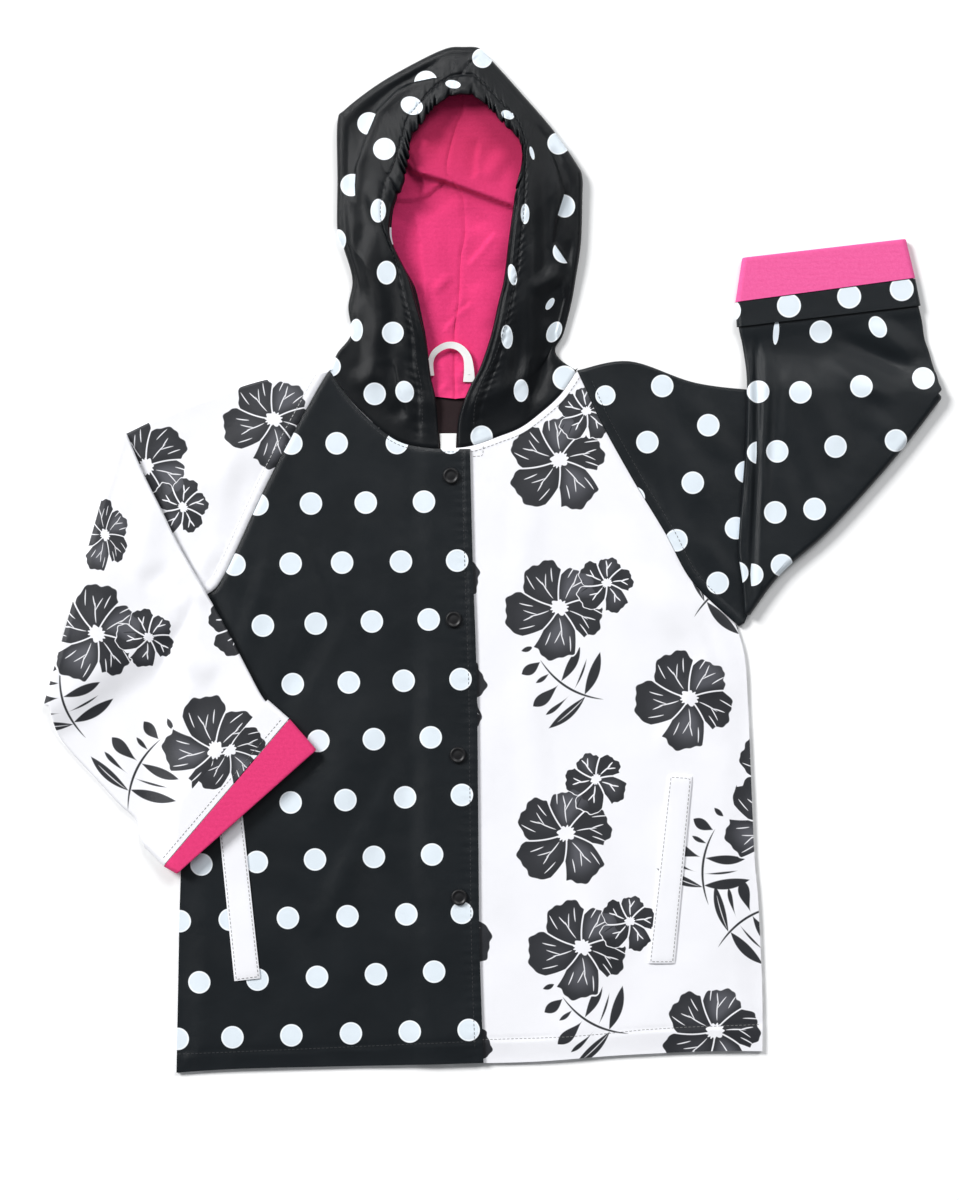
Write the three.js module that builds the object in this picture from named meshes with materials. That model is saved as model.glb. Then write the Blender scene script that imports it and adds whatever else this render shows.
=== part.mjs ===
// A toddler's hooded raincoat lying flat on its back, face up, in millimetres.
// +X is the viewer's right, +Y is toward the hood, +Z is up, and the underside rests on z = 0.
import * as THREE from 'three';

// Cloth and layers
const WALL = 1.2;
const SEAM = 0.35;
const LAYER_GAP = 0.4;
const SLEEVE_DEPTH = 4.2;
const CUFF_WRAP = WALL + LAYER_GAP;
const FOLD_RADIUS = 0.4;
const LAP = WALL + LAYER_GAP;
const TRIM = 1.0;

// Height of the fronts over the back, and how far in from an edge they reach it
const SEAM_LIFT = WALL + SEAM;
const FRONT_LIFT = SLEEVE_DEPTH - WALL;
const EDGE_RUN = 22;

// What the folded forearms lie on, and how far past its edge they take to reach the floor
const OVER_SLEEVE = SLEEVE_DEPTH + 2 * FOLD_RADIUS;
const OVER_BODY = 6.3;
const DROP_RUN = 30;

// Seam lines and edges in plan, as [x, y]
const SHOULDER_LEFT = [-121, 140];
const SHOULDER_RIGHT = [62, 140];
const UNDERARM_LEFT = [-211, -25];
const UNDERARM_RIGHT = [179, -47];
const HEM_LEFT = [-234, -379];
const HEM_RIGHT = [199, -363];
const PLACKET_HEM = [-7, -371.5];
const PLACKET_NECK = [-17, 82];
const UNDERLAP_HEM = [-33, -372];
const UNDERLAP_NECK = [-39, 82];
const BACK_NECK = [-28, 118];

const SIDE_LEFT = [HEM_LEFT, [-233, -326], [-231, -237], [-226, -141], [-218, -67], UNDERARM_LEFT];
const SIDE_RIGHT = [
  HEM_RIGHT, [199, -318], [196, -252], [193, -215], [189, -118], [186, -72], UNDERARM_RIGHT,
];
const RAGLAN_LEFT = [UNDERARM_LEFT, [-199, -12], [-166, 58], [-134, 118], SHOULDER_LEFT];
const RAGLAN_RIGHT = [
  UNDERARM_RIGHT, [147, -16], [127, 20], [104, 58], [80, 101], [69, 125], SHOULDER_RIGHT,
];
const NECK_DOTTED = [
  SHOULDER_LEFT, [-108, 121], [-95, 107], [-79, 93], [-66, 86], [-51, 83], [-38, 82], PLACKET_NECK,
];
const NECK_FLORAL = [
  UNDERLAP_NECK, [-17, 84], [4, 91], [21, 98], [37, 110], [49, 121], [57, 132], SHOULDER_RIGHT,
];
const NECK_BACK = [
  SHOULDER_LEFT, [-110, 132], [-76, 122], BACK_NECK, [20, 122], [50, 131], SHOULDER_RIGHT,
];
const PLACKET = [PLACKET_HEM, [-10, -281], [-11, -178], [-12, -89], [-15, 0], PLACKET_NECK];
const UNDERLAP = [UNDERLAP_HEM, [-36, -178], UNDERLAP_NECK];
const HEM_DOTTED = [HEM_LEFT, [-187, -376], [-121, -374.5], [-54, -373], PLACKET_HEM];
const HEM_FLORAL = [UNDERLAP_HEM, [27, -371], [95, -366], [162, -363], HEM_RIGHT];
const HEM_BACK = [...HEM_DOTTED.slice(0, -1), ...HEM_FLORAL.slice(1)];

// A sleeve is a flattened tube. A row is the line across it from its top edge a to its underarm edge b.
// The fold is its outermost line in plan, from the top edge to the underarm edge.
const SLEEVE_FLORAL = {
  upper: [
    { a: [-169, 133], b: [-242, -46], bow: 0.6 },
    { a: [-215, 118], b: [-273, -67], bow: 0.2 },
    { a: [-243, 107], b: [-298, -84], bow: 0 },
  ],
  fold: [[-275, 95], [-332, -107]],
  fore: [
    { a: [-258, 64], b: [-322, -128], wrap: 0 },
    { a: [-244, 36], b: [-312, -142], wrap: 0 },
    { a: [-232, 11], b: [-300, -155], wrap: 0 },
    { a: [-214, -20], b: [-287, -169], wrap: 0 },
    { a: [-198, -48], b: [-276, -181], wrap: 0 },
    { a: [-181, -80], b: [-264, -193], wrap: 0.4 },
  ],
  cuff: {
    free: { a: [-166, -103], b: [-258, -212] },
    seam: { a: [-150, -117], b: [-243, -226] },
    fold: { a: [-130, -140], b: [-233, -231.5] },
  },
};
const SLEEVE_DOTTED = {
  upper: [
    { a: [101, 147], b: [181.5, -49], bow: 0.6 },
    { a: [150, 131], b: [183, -48.5], bow: 0.2 },
    { a: [202, 125], b: [184.5, -47.5], bow: 0 },
    { a: [254, 122], b: [186, -46], bow: 0 },
  ],
  fold: [[332, 120], [296, 74], [249, 22], [213, -10], [189, -42]],
  fore: [
    { a: [331, 126], b: [184, -16], wrap: 0 },
    { a: [329, 131], b: [181, 6], wrap: 0 },
    { a: [328, 136], b: [182, 28], wrap: 0 },
    { a: [326, 141], b: [184, 54], wrap: 0 },
    { a: [324, 148], b: [186, 82], wrap: 0 },
    { a: [322, 155], b: [187, 110], wrap: 0 },
    { a: [319, 164], b: [187, 137], wrap: 0 },
    { a: [317.5, 177], b: [184, 158], wrap: 0.4 },
  ],
  cuff: {
    free: { a: [316, 188], b: [180, 172] },
    seam: { a: [312, 208], b: [179, 190] },
    fold: { a: [305, 237], b: [184, 223] },
  },
};

// Shares of the way from a cuff's free edge to its seam, and from its seam to its fold, where the sleeve
// inside it begins and ends, and the height of the cuff's rounded folded edge
const INSIDE_CUFF = { start: -0.12, end: 0.9 };
const CUFF_ROUND = 0.6 * WALL;

// Hood edges in plan, from the neck up to the crown
const CROWN = [-22, 379];
const CROWN_RIM = [-24, 344];
const CROWN_UNDER = [-22, 340];
const HOOD_SIDES = {
  left: {
    turn: -1,
    outline: [[-115, 153], [-105, 167], [-107, 187], [-104, 207], [-110, 229], [-115, 243], [-115, 281],
      [-115, 323], [-109, 333], [-84, 352], [-54, 369], [-34, 378]],
    rim: [[-42, 116], [-46, 136], [-50, 164], [-57, 190], [-62, 207], [-70, 223], [-76, 240], [-73, 262],
      [-67, 277], [-63, 292], [-60, 310], [-51, 324], [-41, 336], [-31, 342]],
    lining: [[-54, 122], [-72, 170], [-86, 215], [-93, 255], [-88, 296], [-70, 325], [-47, 343]],
  },
  right: {
    turn: 1,
    outline: [[50, 148], [46, 156], [52, 167], [58, 190], [61, 207], [65, 234], [66, 266], [66, 283],
      [62, 292], [44, 318], [18, 348], [-1, 369], [-10, 378]],
    rim: [[-26, 101], [-22, 116], [-17, 128], [-10, 141], [-2, 164], [4, 190], [8, 207], [12, 240],
      [17, 273], [21, 292], [20, 307], [12, 317], [0, 330], [-9, 339], [-17, 343]],
    lining: [[-2, 122], [14, 160], [28, 200], [38, 244], [40, 281], [29, 311], [3, 340]],
  },
};

// Shares of each front's neckline where the hood's face edge and its outer corner are sewn
const HOOD_ON_NECK = {
  left: { face: 0.795, corner: 0 },
  right: { face: 0.105, corner: 1 },
};
// Share of the way up over which the hood rises off the neckline, and how its bend fades
const NECK_RISE = 0.12;
const BEND_FADE = 0.5;
const CORNER_FROM = 0.8;

const LINING_SEAM = [[-28, 119], [-24, 192], [-22, 274], [-26, 311], [-23, 348]];

// Heights of the hood from the neck (share 0) to the crown (share 1)
const HOOD_HEIGHTS = [
  { share: 0, rim: 4.2, edge: SLEEVE_DEPTH, swell: 0 },
  { share: 0.14, rim: 8.5, edge: 5, swell: 1.2 },
  { share: 0.35, rim: 14, edge: 8, swell: 2.6 },
  { share: 0.6, rim: 17, edge: 9.4, swell: 3.2 },
  { share: 0.85, rim: 15.5, edge: 9.4, swell: 1.6 },
  { share: 1, rim: 13.5, edge: 9, swell: 0.8 },
];

// Elastic gathers along the crown part of the face edge
const GATHERS = { perSide: 9, from: 0.62, height: 1.5, scallop: 0.7, reach: 0.34, fadeIn: 1 / 6 };

// The face edge rolls open here and shows the facing
const FACING_ROLL = { centre: 0.46, spread: 0.13, width: 6.5, drop: 2.2 };

// Soft ridges of the cloth, as lines in plan
const BODY_FOLDS = [
  { from: [-70, -90], to: [-150, -225], width: 15, height: 1.5 },
  { from: [-118, -60], to: [-100, -330], width: 13, height: 1.2 },
  { from: [82, 32], to: [140, -62], width: 11, height: 1.7 },
  { from: [110, -4], to: [172, -104], width: 10, height: 1.6 },
  { from: [60, -150], to: [88, -330], width: 14, height: 1.2 },
  { from: [-92, 70], to: [-62, -70], width: 14, height: 1.2 },
];
const FLORAL_FOREARM_FOLDS = [
  { from: [-236, 2], to: [-206, -34], width: 7, height: 1.4 },
  { from: [-238, -62], to: [-204, -88], width: 8, height: 1.6 },
  { from: [-282, 20], to: [-300, -120], width: 12, height: 1.3 },
];
const DOTTED_FOREARM_FOLDS = [
  { from: [272, 181], to: [313, 147], width: 8, height: 1.7 },
  { from: [207, 150], to: [206, 10], width: 9, height: 1.3 },
];
const UPPER_SLEEVE_FOLDS = [
  { from: [-150, 112], to: [-240, 30], width: 12, height: 1.2 },
  { from: [96, 118], to: [170, 30], width: 12, height: 1.2 },
];
const LINING_FOLDS = [
  { from: [-57, 293], to: [14, 264], width: 11, height: 3.4 },
  { from: [-22, 300], to: [-26, 150], width: 5, height: 1.5 },
  { from: [-58, 254], to: [-50, 190], width: 8, height: 2 },
  { from: [-10, 250], to: [4, 214], width: 8, height: 1.8 },
  { from: [-14, 206], to: [-2, 170], width: 7, height: 1.3 },
];

// Trim
const SNAP = { radius: 6, height: 2.4 };
const SNAP_PROFILE = [
  { out: 0, up: 0 }, { out: 1, up: 0 }, { out: 1, up: 0.3 },
  { out: 0.85, up: 0.75 }, { out: 0.45, up: 0.96 }, { out: 0, up: 1 },
];
const SNAPS = [[-31, 62], [-29, -44], [-26, -144], [-25, -249]];
const WELTS = {
  welt_left: { top: [[-205, -172], [-187, -170]], bottom: [[-191, -311], [-172, -309]] },
  welt_right: { top: [[130, -159], [147, -160]], bottom: [[115, -298], [134, -298]] },
};
const LABELS = {
  neck_label: { top: [[-47, 115.5], [-20, 115.5]], bottom: [[-47, 95], [-20, 95]] },
  size_label: { top: [[-39, 93], [-27, 93]], bottom: [[-38.5, 80], [-27.5, 80]] },
};
const HANG_LOOP = {
  width: 7.4,
  line: [[-45, 138], [-46, 149], [-41, 156], [-32, 158.5], [-23, 156], [-18, 147], [-17, 131]],
};

// How finely each piece is divided
const ARC_STEPS = 400;
const SIDE_ROWS = 12;
const RAGLAN_ROWS = 9;
const FRONT_COLUMNS = 14;
const BACK_COLUMNS = 8;
const HEM_STEPS = 24;
const SLEEVE_FOLD_STEPS = 5;
const HALF_TURN_STOPS = [0.25, 0.5, 0.75];
const HOOD_PLAIN_ROWS = 12;
const ROWS_PER_GATHER = 4;
const HOOD_COLUMNS = [0, 0.08, 0.2, 0.42, 0.72, 1];
const UNDER_COLUMNS = [0, 0.5, 1];
const FACING_COLUMNS = HOOD_COLUMNS.slice(1, 3);
const FACING_FIRST_ROW = 2;
const LINING_ROWS = 18;
const LINING_COLUMNS = 6;
const WELT_ROWS = 12;
const WELT_COLUMNS = 3;
const LOOP_ROWS = 16;
const SNAP_SIDES = 14;

const MATERIALS = {
  black: new THREE.MeshStandardMaterial({ color: 0x24272b, roughness: 0.5, metalness: 0 }),
  white: new THREE.MeshStandardMaterial({ color: 0xf3f3f6, roughness: 0.6, metalness: 0 }),
  pink: new THREE.MeshStandardMaterial({ color: 0xe6357c, roughness: 0.85, metalness: 0 }),
  tape: new THREE.MeshStandardMaterial({ color: 0xf5f5f2, roughness: 0.7, metalness: 0 }),
  label: new THREE.MeshStandardMaterial({ color: 0x2d2a2b, roughness: 0.7, metalness: 0 }),
  snap: new THREE.MeshStandardMaterial({ color: 0x161719, roughness: 0.3, metalness: 0 }),
};

// Plain helpers
const mix = (from, to, share) => from + (to - from) * share;
const clamp = (value) => Math.min(1, Math.max(0, value));
const smooth = (value) => clamp(value) ** 2 * (3 - 2 * clamp(value));
const shares = (count) => Array.from({ length: count + 1 }, (_, i) => i / count);
const vector = ([x, y]) => new THREE.Vector2(x, y);
const curveOf = (rows) => new THREE.SplineCurve(rows.map(vector));
const nudged = ([x, y], dx) => [x + dx, y];

function pointsOn(rows, stops) {
  const curve = curveOf(rows);
  curve.arcLengthDivisions = ARC_STEPS;
  return stops.map((stop) => curve.getPointAt(clamp(stop)));
}

// Points of a curve between two shares of its length, moved out to its left
function seamLine(rows, stops, from, to) {
  const curve = curveOf(rows);
  curve.arcLengthDivisions = ARC_STEPS;
  return stops.map((stop) => {
    const at = mix(from, to, stop);
    const along = curve.getTangentAt(at);
    return curve.getPointAt(at).add(new THREE.Vector2(-along.y, along.x).multiplyScalar(SEAM));
  });
}

// A patch between four edges in plan: grid[row][column], rows from the bottom to the top
function patch(left, right, bottom, top) {
  const rows = left.length - 1;
  const columns = bottom.length - 1;
  const corner = { bl: left[0], br: right[0], tl: left[rows], tr: right[rows] };
  return left.map((_, i) => bottom.map((__, j) => {
    const v = i / rows;
    const u = j / columns;
    const blend = (axis) => mix(left[i][axis], right[i][axis], u) + mix(bottom[j][axis], top[j][axis], v)
      - mix(mix(corner.bl[axis], corner.br[axis], u), mix(corner.tl[axis], corner.tr[axis], u), v);
    return new THREE.Vector2(blend('x'), blend('y'));
  }));
}

function distanceToSegment(x, y, from, to) {
  const dx = to.x - from.x;
  const dy = to.y - from.y;
  const share = clamp(((x - from.x) * dx + (y - from.y) * dy) / (dx * dx + dy * dy));
  return { distance: Math.hypot(x - from.x - share * dx, y - from.y - share * dy), share };
}

function distanceToLine(line, x, y) {
  let nearest = Infinity;
  for (let i = 1; i < line.length; i++) {
    nearest = Math.min(nearest, distanceToSegment(x, y, line[i - 1], line[i]).distance);
  }
  return nearest;
}

function inside(outline, x, y) {
  let within = false;
  outline.forEach((point, i) => {
    const last = outline[(i + outline.length - 1) % outline.length];
    const crosses = (point.y > y) !== (last.y > y);
    if (crosses && x < mix(point.x, last.x, (y - point.y) / (last.y - point.y))) within = !within;
  });
  return within;
}

// Height of the soft ridges of a table at a point; they fade out at both ends and sideways
function ridges(table, x, y) {
  return table.reduce((sum, fold) => {
    const { distance, share } = distanceToSegment(x, y, vector(fold.from), vector(fold.to));
    const across = smooth(1 - distance / (2 * fold.width));
    return sum + fold.height * across * smooth(4 * share * (1 - share));
  }, 0);
}

// One closed wall between an outer and an inner grid of points. A closed grid wraps round its columns.
function wall(name, material, outer, inner, closed = false) {
  const rows = outer.length;
  const columns = outer[0].length;
  const index = [];
  const at = (face, i, j) => (face * rows + i) * columns + (j % columns);
  const quad = (a, b, c, d) => index.push(a, b, c, a, c, d);
  const last = rows - 1;
  const across = closed ? columns : columns - 1;
  for (let j = 0; j < across; j++) {
    for (let i = 0; i < last; i++) {
      quad(at(0, i, j), at(0, i + 1, j), at(0, i + 1, j + 1), at(0, i, j + 1));
      quad(at(1, i, j), at(1, i, j + 1), at(1, i + 1, j + 1), at(1, i + 1, j));
    }
    quad(at(0, 0, j), at(0, 0, j + 1), at(1, 0, j + 1), at(1, 0, j));
    quad(at(0, last, j), at(1, last, j), at(1, last, j + 1), at(0, last, j + 1));
  }
  if (!closed) {
    for (let i = 0; i < last; i++) {
      quad(at(0, i, 0), at(1, i, 0), at(1, i + 1, 0), at(0, i + 1, 0));
      quad(at(0, i, across), at(0, i + 1, across), at(1, i + 1, across), at(1, i, across));
    }
  }
  const points = [...outer.flat(), ...inner.flat()];
  if (signedVolume(points, index) < 0) index.reverse();
  const geometry = new THREE.BufferGeometry().setFromPoints(points);
  geometry.setIndex(index);
  geometry.computeVertexNormals();
  const mesh = new THREE.Mesh(geometry, material);
  mesh.name = name;
  return mesh;
}

function signedVolume(points, index) {
  let volume = 0;
  for (let i = 0; i < index.length; i += 3) {
    const [a, b, c] = [points[index[i]], points[index[i + 1]], points[index[i + 2]]];
    volume += a.dot(b.clone().cross(c)) / 6;
  }
  return volume;
}

// A panel over a plan grid, its underside at the height that lift(x, y) gives
function panel(name, material, grid, lift, thickness = WALL) {
  const face = (extra) => grid.map(
    (row) => row.map(({ x, y }) => new THREE.Vector3(x, y, lift(x, y) + extra)),
  );
  return wall(name, material, face(thickness), face(0));
}

// Body
const BODY_STOPS = shares(SIDE_ROWS + RAGLAN_ROWS);
const bodyEdge = (side, raglan) => [
  ...pointsOn(side, shares(SIDE_ROWS)),
  ...pointsOn(raglan, shares(RAGLAN_ROWS)).slice(1),
];
const LEFT_EDGE = bodyEdge(SIDE_LEFT, RAGLAN_LEFT);
const RIGHT_EDGE = bodyEdge(SIDE_RIGHT, RAGLAN_RIGHT);
const BODY_OUTLINE = [...LEFT_EDGE, ...RIGHT_EDGE.slice().reverse()];
const SEWN_OR_HEMMED = [
  LEFT_EDGE.slice(0, SIDE_ROWS + 1),
  RIGHT_EDGE.slice(0, SIDE_ROWS + 1),
  pointsOn(HEM_BACK, shares(HEM_STEPS)),
];

function frontLift(x, y) {
  const fromEdge = Math.min(...SEWN_OR_HEMMED.map((line) => distanceToLine(line, x, y)));
  const raised = smooth(fromEdge / EDGE_RUN);
  return mix(SEAM_LIFT, FRONT_LIFT + ridges(BODY_FOLDS, x, y), raised);
}

// The dotted front climbs onto the underlap of the floral one
const LAP_RAMP = { from: -64, to: -43 };
const onUnderlap = (x) => smooth((x - LAP_RAMP.from) / (LAP_RAMP.to - LAP_RAMP.from));
const dottedLift = (x, y) => frontLift(x, y) + LAP * onUnderlap(x);

function body() {
  const cutPanel = (left, right, bottom, top, columns) => patch(
    left, right, pointsOn(bottom, shares(columns)), pointsOn(top, shares(columns)),
  );
  const placket = pointsOn(PLACKET, BODY_STOPS);
  const underlap = pointsOn(UNDERLAP, BODY_STOPS);
  const dotted = cutPanel(LEFT_EDGE, placket, HEM_DOTTED, NECK_DOTTED, FRONT_COLUMNS);
  const floral = cutPanel(underlap, RIGHT_EDGE, HEM_FLORAL, NECK_FLORAL, FRONT_COLUMNS);
  const back = cutPanel(LEFT_EDGE, RIGHT_EDGE, HEM_BACK, NECK_BACK, BACK_COLUMNS);
  return [
    panel('back', MATERIALS.white, back, () => 0),
    panel('front_dotted', MATERIALS.black, dotted, dottedLift),
    panel('front_floral', MATERIALS.white, floral, frontLift),
  ];
}

// Flattened tubes. A ring is a flat oval: [distance along the line, height], inset from its outer size.
function flatRing(length, depth, inset) {
  const radius = depth / 2;
  const round = radius - inset;
  const stops = shares(RAGLAN_ROWS).map(
    (share) => Math.min(length - radius, Math.max(radius, share * length)),
  );
  const top = stops.map((stop) => [stop, depth - inset]);
  const bottom = stops.slice().reverse().map((stop) => [stop, inset]);
  const end = (centre, way) => HALF_TURN_STOPS.map((turn) => [
    centre + way * round * Math.sin(Math.PI * turn),
    radius + way * round * Math.cos(Math.PI * turn),
  ]);
  return [...top, ...end(length - radius, 1), ...bottom, ...end(radius, -1)];
}

// What lies under a folded forearm: the height at a point, falling to the floor past the edges
function restOn(supports) {
  return (x, y) => Math.max(...supports.map(({ outline, height }) => {
    if (inside(outline, x, y)) return height;
    const edge = [...outline, outline[0]];
    return height * (1 - smooth((distanceToLine(edge, x, y) - 1) / DROP_RUN));
  }));
}

// A section of a sleeve turns a ring point [along, height] into a point in space
function flatSection(row, bend, placeHeight) {
  const [a, b] = [vector(row.a), vector(row.b)];
  const length = a.distanceTo(b);
  return {
    length,
    place: ([along, height]) => {
      const share = clamp(along / length);
      const plan = a.clone().addScaledVector(b.clone().sub(a), along / length);
      plan.addScaledVector(bend(share), row.bow ?? 0);
      return new THREE.Vector3(plan.x, plan.y, placeHeight(plan, height));
    },
  };
}

// The sleeve turns about a line above its own top, from lying flat to lying on itself
function foldSections(fold, turns) {
  const line = curveOf(fold);
  const length = line.getLength();
  const across = line.getPoint(1).sub(line.getPoint(0)).normalize();
  const away = new THREE.Vector2(-across.y, across.x);
  if (away.dot(line.getPoint(0)) < 0) away.negate();
  const axisHeight = SLEEVE_DEPTH + FOLD_RADIUS;
  return turns.map((turn) => ({
    length,
    place: ([along, height]) => {
      const radius = axisHeight - height;
      const plan = line.getPointAt(clamp(along / length))
        .addScaledVector(away, radius * Math.sin(Math.PI * turn) - axisHeight);
      return new THREE.Vector3(plan.x, plan.y, axisHeight - radius * Math.cos(Math.PI * turn));
    },
  }));
}

// How far a raglan seam bends from the straight line between its ends, from the shoulder down
function raglanBend(rows) {
  const stops = pointsOn(rows, shares(RAGLAN_ROWS)).reverse();
  return (share) => {
    const place = Math.min(RAGLAN_ROWS - 1, Math.floor(share * RAGLAN_ROWS));
    const onSeam = stops[place].clone().lerp(stops[place + 1], share * RAGLAN_ROWS - place);
    return onSeam.sub(stops[0].clone().lerp(stops[RAGLAN_ROWS], share));
  };
}

const noBend = () => new THREE.Vector2();
const outlineOf = (rows, fold) => [
  ...rows.map((row) => vector(row.a)),
  ...fold.map(vector),
  ...rows.map((row) => vector(row.b)).reverse(),
];

function sleeve(side, cut, raglan, folds) {
  const outward = side === 'floral' ? -1 : 1;
  const bend = raglanBend(raglan);
  const chord = vector(raglan[0]).sub(vector(raglan[raglan.length - 1])).normalize();
  const step = new THREE.Vector2(-chord.y, chord.x).multiplyScalar(SEAM);
  if (step.x * outward < 0) step.negate();
  const moved = (point) => vector(point).add(step).toArray();
  const seamRow = { a: moved(raglan[raglan.length - 1]), b: moved(raglan[0]), bow: 1 };
  const upperRows = [seamRow, ...cut.upper];
  const rest = restOn([
    { outline: outlineOf(upperRows, cut.fold), height: OVER_SLEEVE },
    { outline: BODY_OUTLINE, height: OVER_BODY },
  ]);
  const ringFor = (section, depth, inset) => flatRing(section.length, depth, inset).map(section.place);

  const upper = upperRows.map((row) => flatSection(row, bend, (plan, height) => {
    const onTop = height > SLEEVE_DEPTH / 2 && row !== seamRow;
    return height + (onTop ? ridges(UPPER_SLEEVE_FOLDS, plan.x, plan.y) : 0);
  }));
  const fold = foldSections(cut.fold, shares(SLEEVE_FOLD_STEPS));
  const foreRows = [...cut.fore, ...cuffLines(cut.cuff)];
  const fore = foreRows.map((row) => {
    const depth = SLEEVE_DEPTH + 2 * row.wrap;
    return flatSection(row, noBend, (plan, height) => {
      const flipped = depth - height;
      const onTop = flipped > depth / 2 && row.wrap === 0;
      return rest(plan.x, plan.y) + flipped + (onTop ? ridges(folds, plan.x, plan.y) : 0);
    });
  });
  const wraps = [...upper.map(() => 0), ...fold.map(() => 0), ...foreRows.map((row) => row.wrap)];
  const rings = (inset) => [...upper, ...fold, ...fore].map(
    (section, i) => ringFor(section, SLEEVE_DEPTH + 2 * wraps[i], wraps[i] + inset),
  );
  const cloth = side === 'floral' ? MATERIALS.white : MATERIALS.black;
  return [
    wall(`sleeve_${side}`, cloth, rings(0), rings(WALL), true),
    ...cuff(side, cut.cuff, cloth, (plan, height) => rest(plan.x, plan.y) + height),
  ];
}

const between = (from, to, share) => ({
  a: vector(from.a).lerp(vector(to.a), share).toArray(),
  b: vector(from.b).lerp(vector(to.b), share).toArray(),
});

// The sleeve's own lines inside its turned-back cuff, from just before the free edge to just short of
// the fold
function cuffLines({ free, seam, fold }) {
  const lines = [
    between(free, seam, INSIDE_CUFF.start), between(free, seam, 0.5), seam,
    between(seam, fold, 0.5), between(seam, fold, INSIDE_CUFF.end),
  ];
  return lines.map((line) => ({ ...line, wrap: CUFF_WRAP }));
}

// The turned-back end of a sleeve: a hem band, then the lining up to the folded edge
function cuff(side, lines, cloth, placeHeight) {
  const depth = SLEEVE_DEPTH + 2 * CUFF_WRAP;
  const band = (name, material, rows) => {
    const sections = rows.map((row) => ({
      ...flatSection(row, noBend, placeHeight),
      inset: row.inset ?? 0,
    }));
    const rings = (inset) => sections.map(
      (section) => flatRing(section.length, depth, inset(section)).map(section.place),
    );
    return wall(name, material, rings((section) => section.inset), rings(() => WALL), true);
  };
  const reach = vector(lines.seam.a).distanceTo(vector(lines.fold.a));
  const bandStops = [0, 0.5, 1 - SEAM / reach];
  return [
    band(`cuff_${side}_facing`, cloth, bandStops.map((share) => between(lines.free, lines.seam, share))),
    band(`cuff_${side}_lining`, MATERIALS.pink, [
      lines.seam,
      between(lines.seam, lines.fold, 0.5),
      between(lines.seam, lines.fold, 1 - CUFF_ROUND / reach),
      { ...lines.fold, inset: CUFF_ROUND },
    ]),
  ];
}

// Hood
const HOOD_ROWS = [
  ...shares(HOOD_PLAIN_ROWS).slice(0, -1).map((share) => share * GATHERS.from),
  ...shares(GATHERS.perSide * ROWS_PER_GATHER).map((share) => mix(GATHERS.from, 1, share)),
];

function hoodHeight(share, key) {
  const next = Math.max(1, HOOD_HEIGHTS.findIndex((row) => row.share >= share));
  const [low, high] = [HOOD_HEIGHTS[next - 1], HOOD_HEIGHTS[next]];
  return mix(low[key], high[key], smooth((share - low.share) / (high.share - low.share)));
}

// One puff of the gathers, from -1 to 1, fading in where they start
function gather(share) {
  const place = (share - GATHERS.from) / (1 - GATHERS.from);
  return place <= 0 ? 0 : -Math.cos(2 * Math.PI * GATHERS.perSide * place) * smooth(place / GATHERS.fadeIn);
}

// Height of the top face of a hood panel; u runs from the face edge (0) to the outline (1)
function hoodTop(u, share, neckHeight) {
  const fade = smooth(1 - u / GATHERS.reach);
  const slope = mix(hoodHeight(share, 'rim'), hoodHeight(share, 'edge'), smooth(u));
  const arch = slope + hoodHeight(share, 'swell') * Math.sin(Math.PI * u);
  const height = arch + GATHERS.height * gather(share) * fade;
  return mix(neckHeight, height, smooth(share / NECK_RISE));
}

// Plan curves of one half of the hood, with a seam's gap to the other half
function hoodEdges({ turn, outline, rim }, neckTop, neckUnder) {
  const apart = turn * SEAM / 2;
  const corner = neckTop[neckTop.length - 1];
  const edge = [corner.toArray(), ...outline, nudged(CROWN, apart)];
  const curve = curveOf(edge);
  curve.arcLengthDivisions = ARC_STEPS;
  const away = HOOD_ROWS.map((share, i) => {
    if (i === HOOD_ROWS.length - 1) return new THREE.Vector2(0, 1);
    const along = curve.getTangentAt(share);
    return new THREE.Vector2(turn * along.y, -turn * along.x);
  });
  const edgePoints = pointsOn(edge, HOOD_ROWS).map((point, i) => {
    const radius = hoodHeight(HOOD_ROWS[i], 'edge') / 2;
    return i === 0 ? corner : point.addScaledVector(away[i], -radius);
  });
  const face = [neckTop[0].toArray(), ...rim, nudged(CROWN_RIM, apart)];
  const rimPoints = pointsOn(face, HOOD_ROWS).map((point, i) => {
    const wide = Math.max(1, point.distanceTo(edgePoints[i]));
    return point.lerp(edgePoints[i], GATHERS.scallop * gather(HOOD_ROWS[i]) / wide);
  });
  const spine = [neckUnder[neckUnder.length - 1], vector(nudged(CROWN_UNDER, apart))];
  const spinePoints = HOOD_ROWS.map((share) => spine[0].clone().lerp(spine[1], share));
  return { away, edgePoints, rimPoints, spinePoints };
}

// A patch whose rows and columns stand at uneven shares
function unevenPatch(starts, ends, firstRow, rowShares, columnShares) {
  return starts.map((start, i) => columnShares.map((u, j) => {
    const straight = starts[0].clone().lerp(ends[0], u);
    const bend = firstRow[j].clone().sub(straight).multiplyScalar(1 - smooth(rowShares[i] / BEND_FADE));
    return start.clone().lerp(ends[i], u).add(bend);
  }));
}

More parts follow.
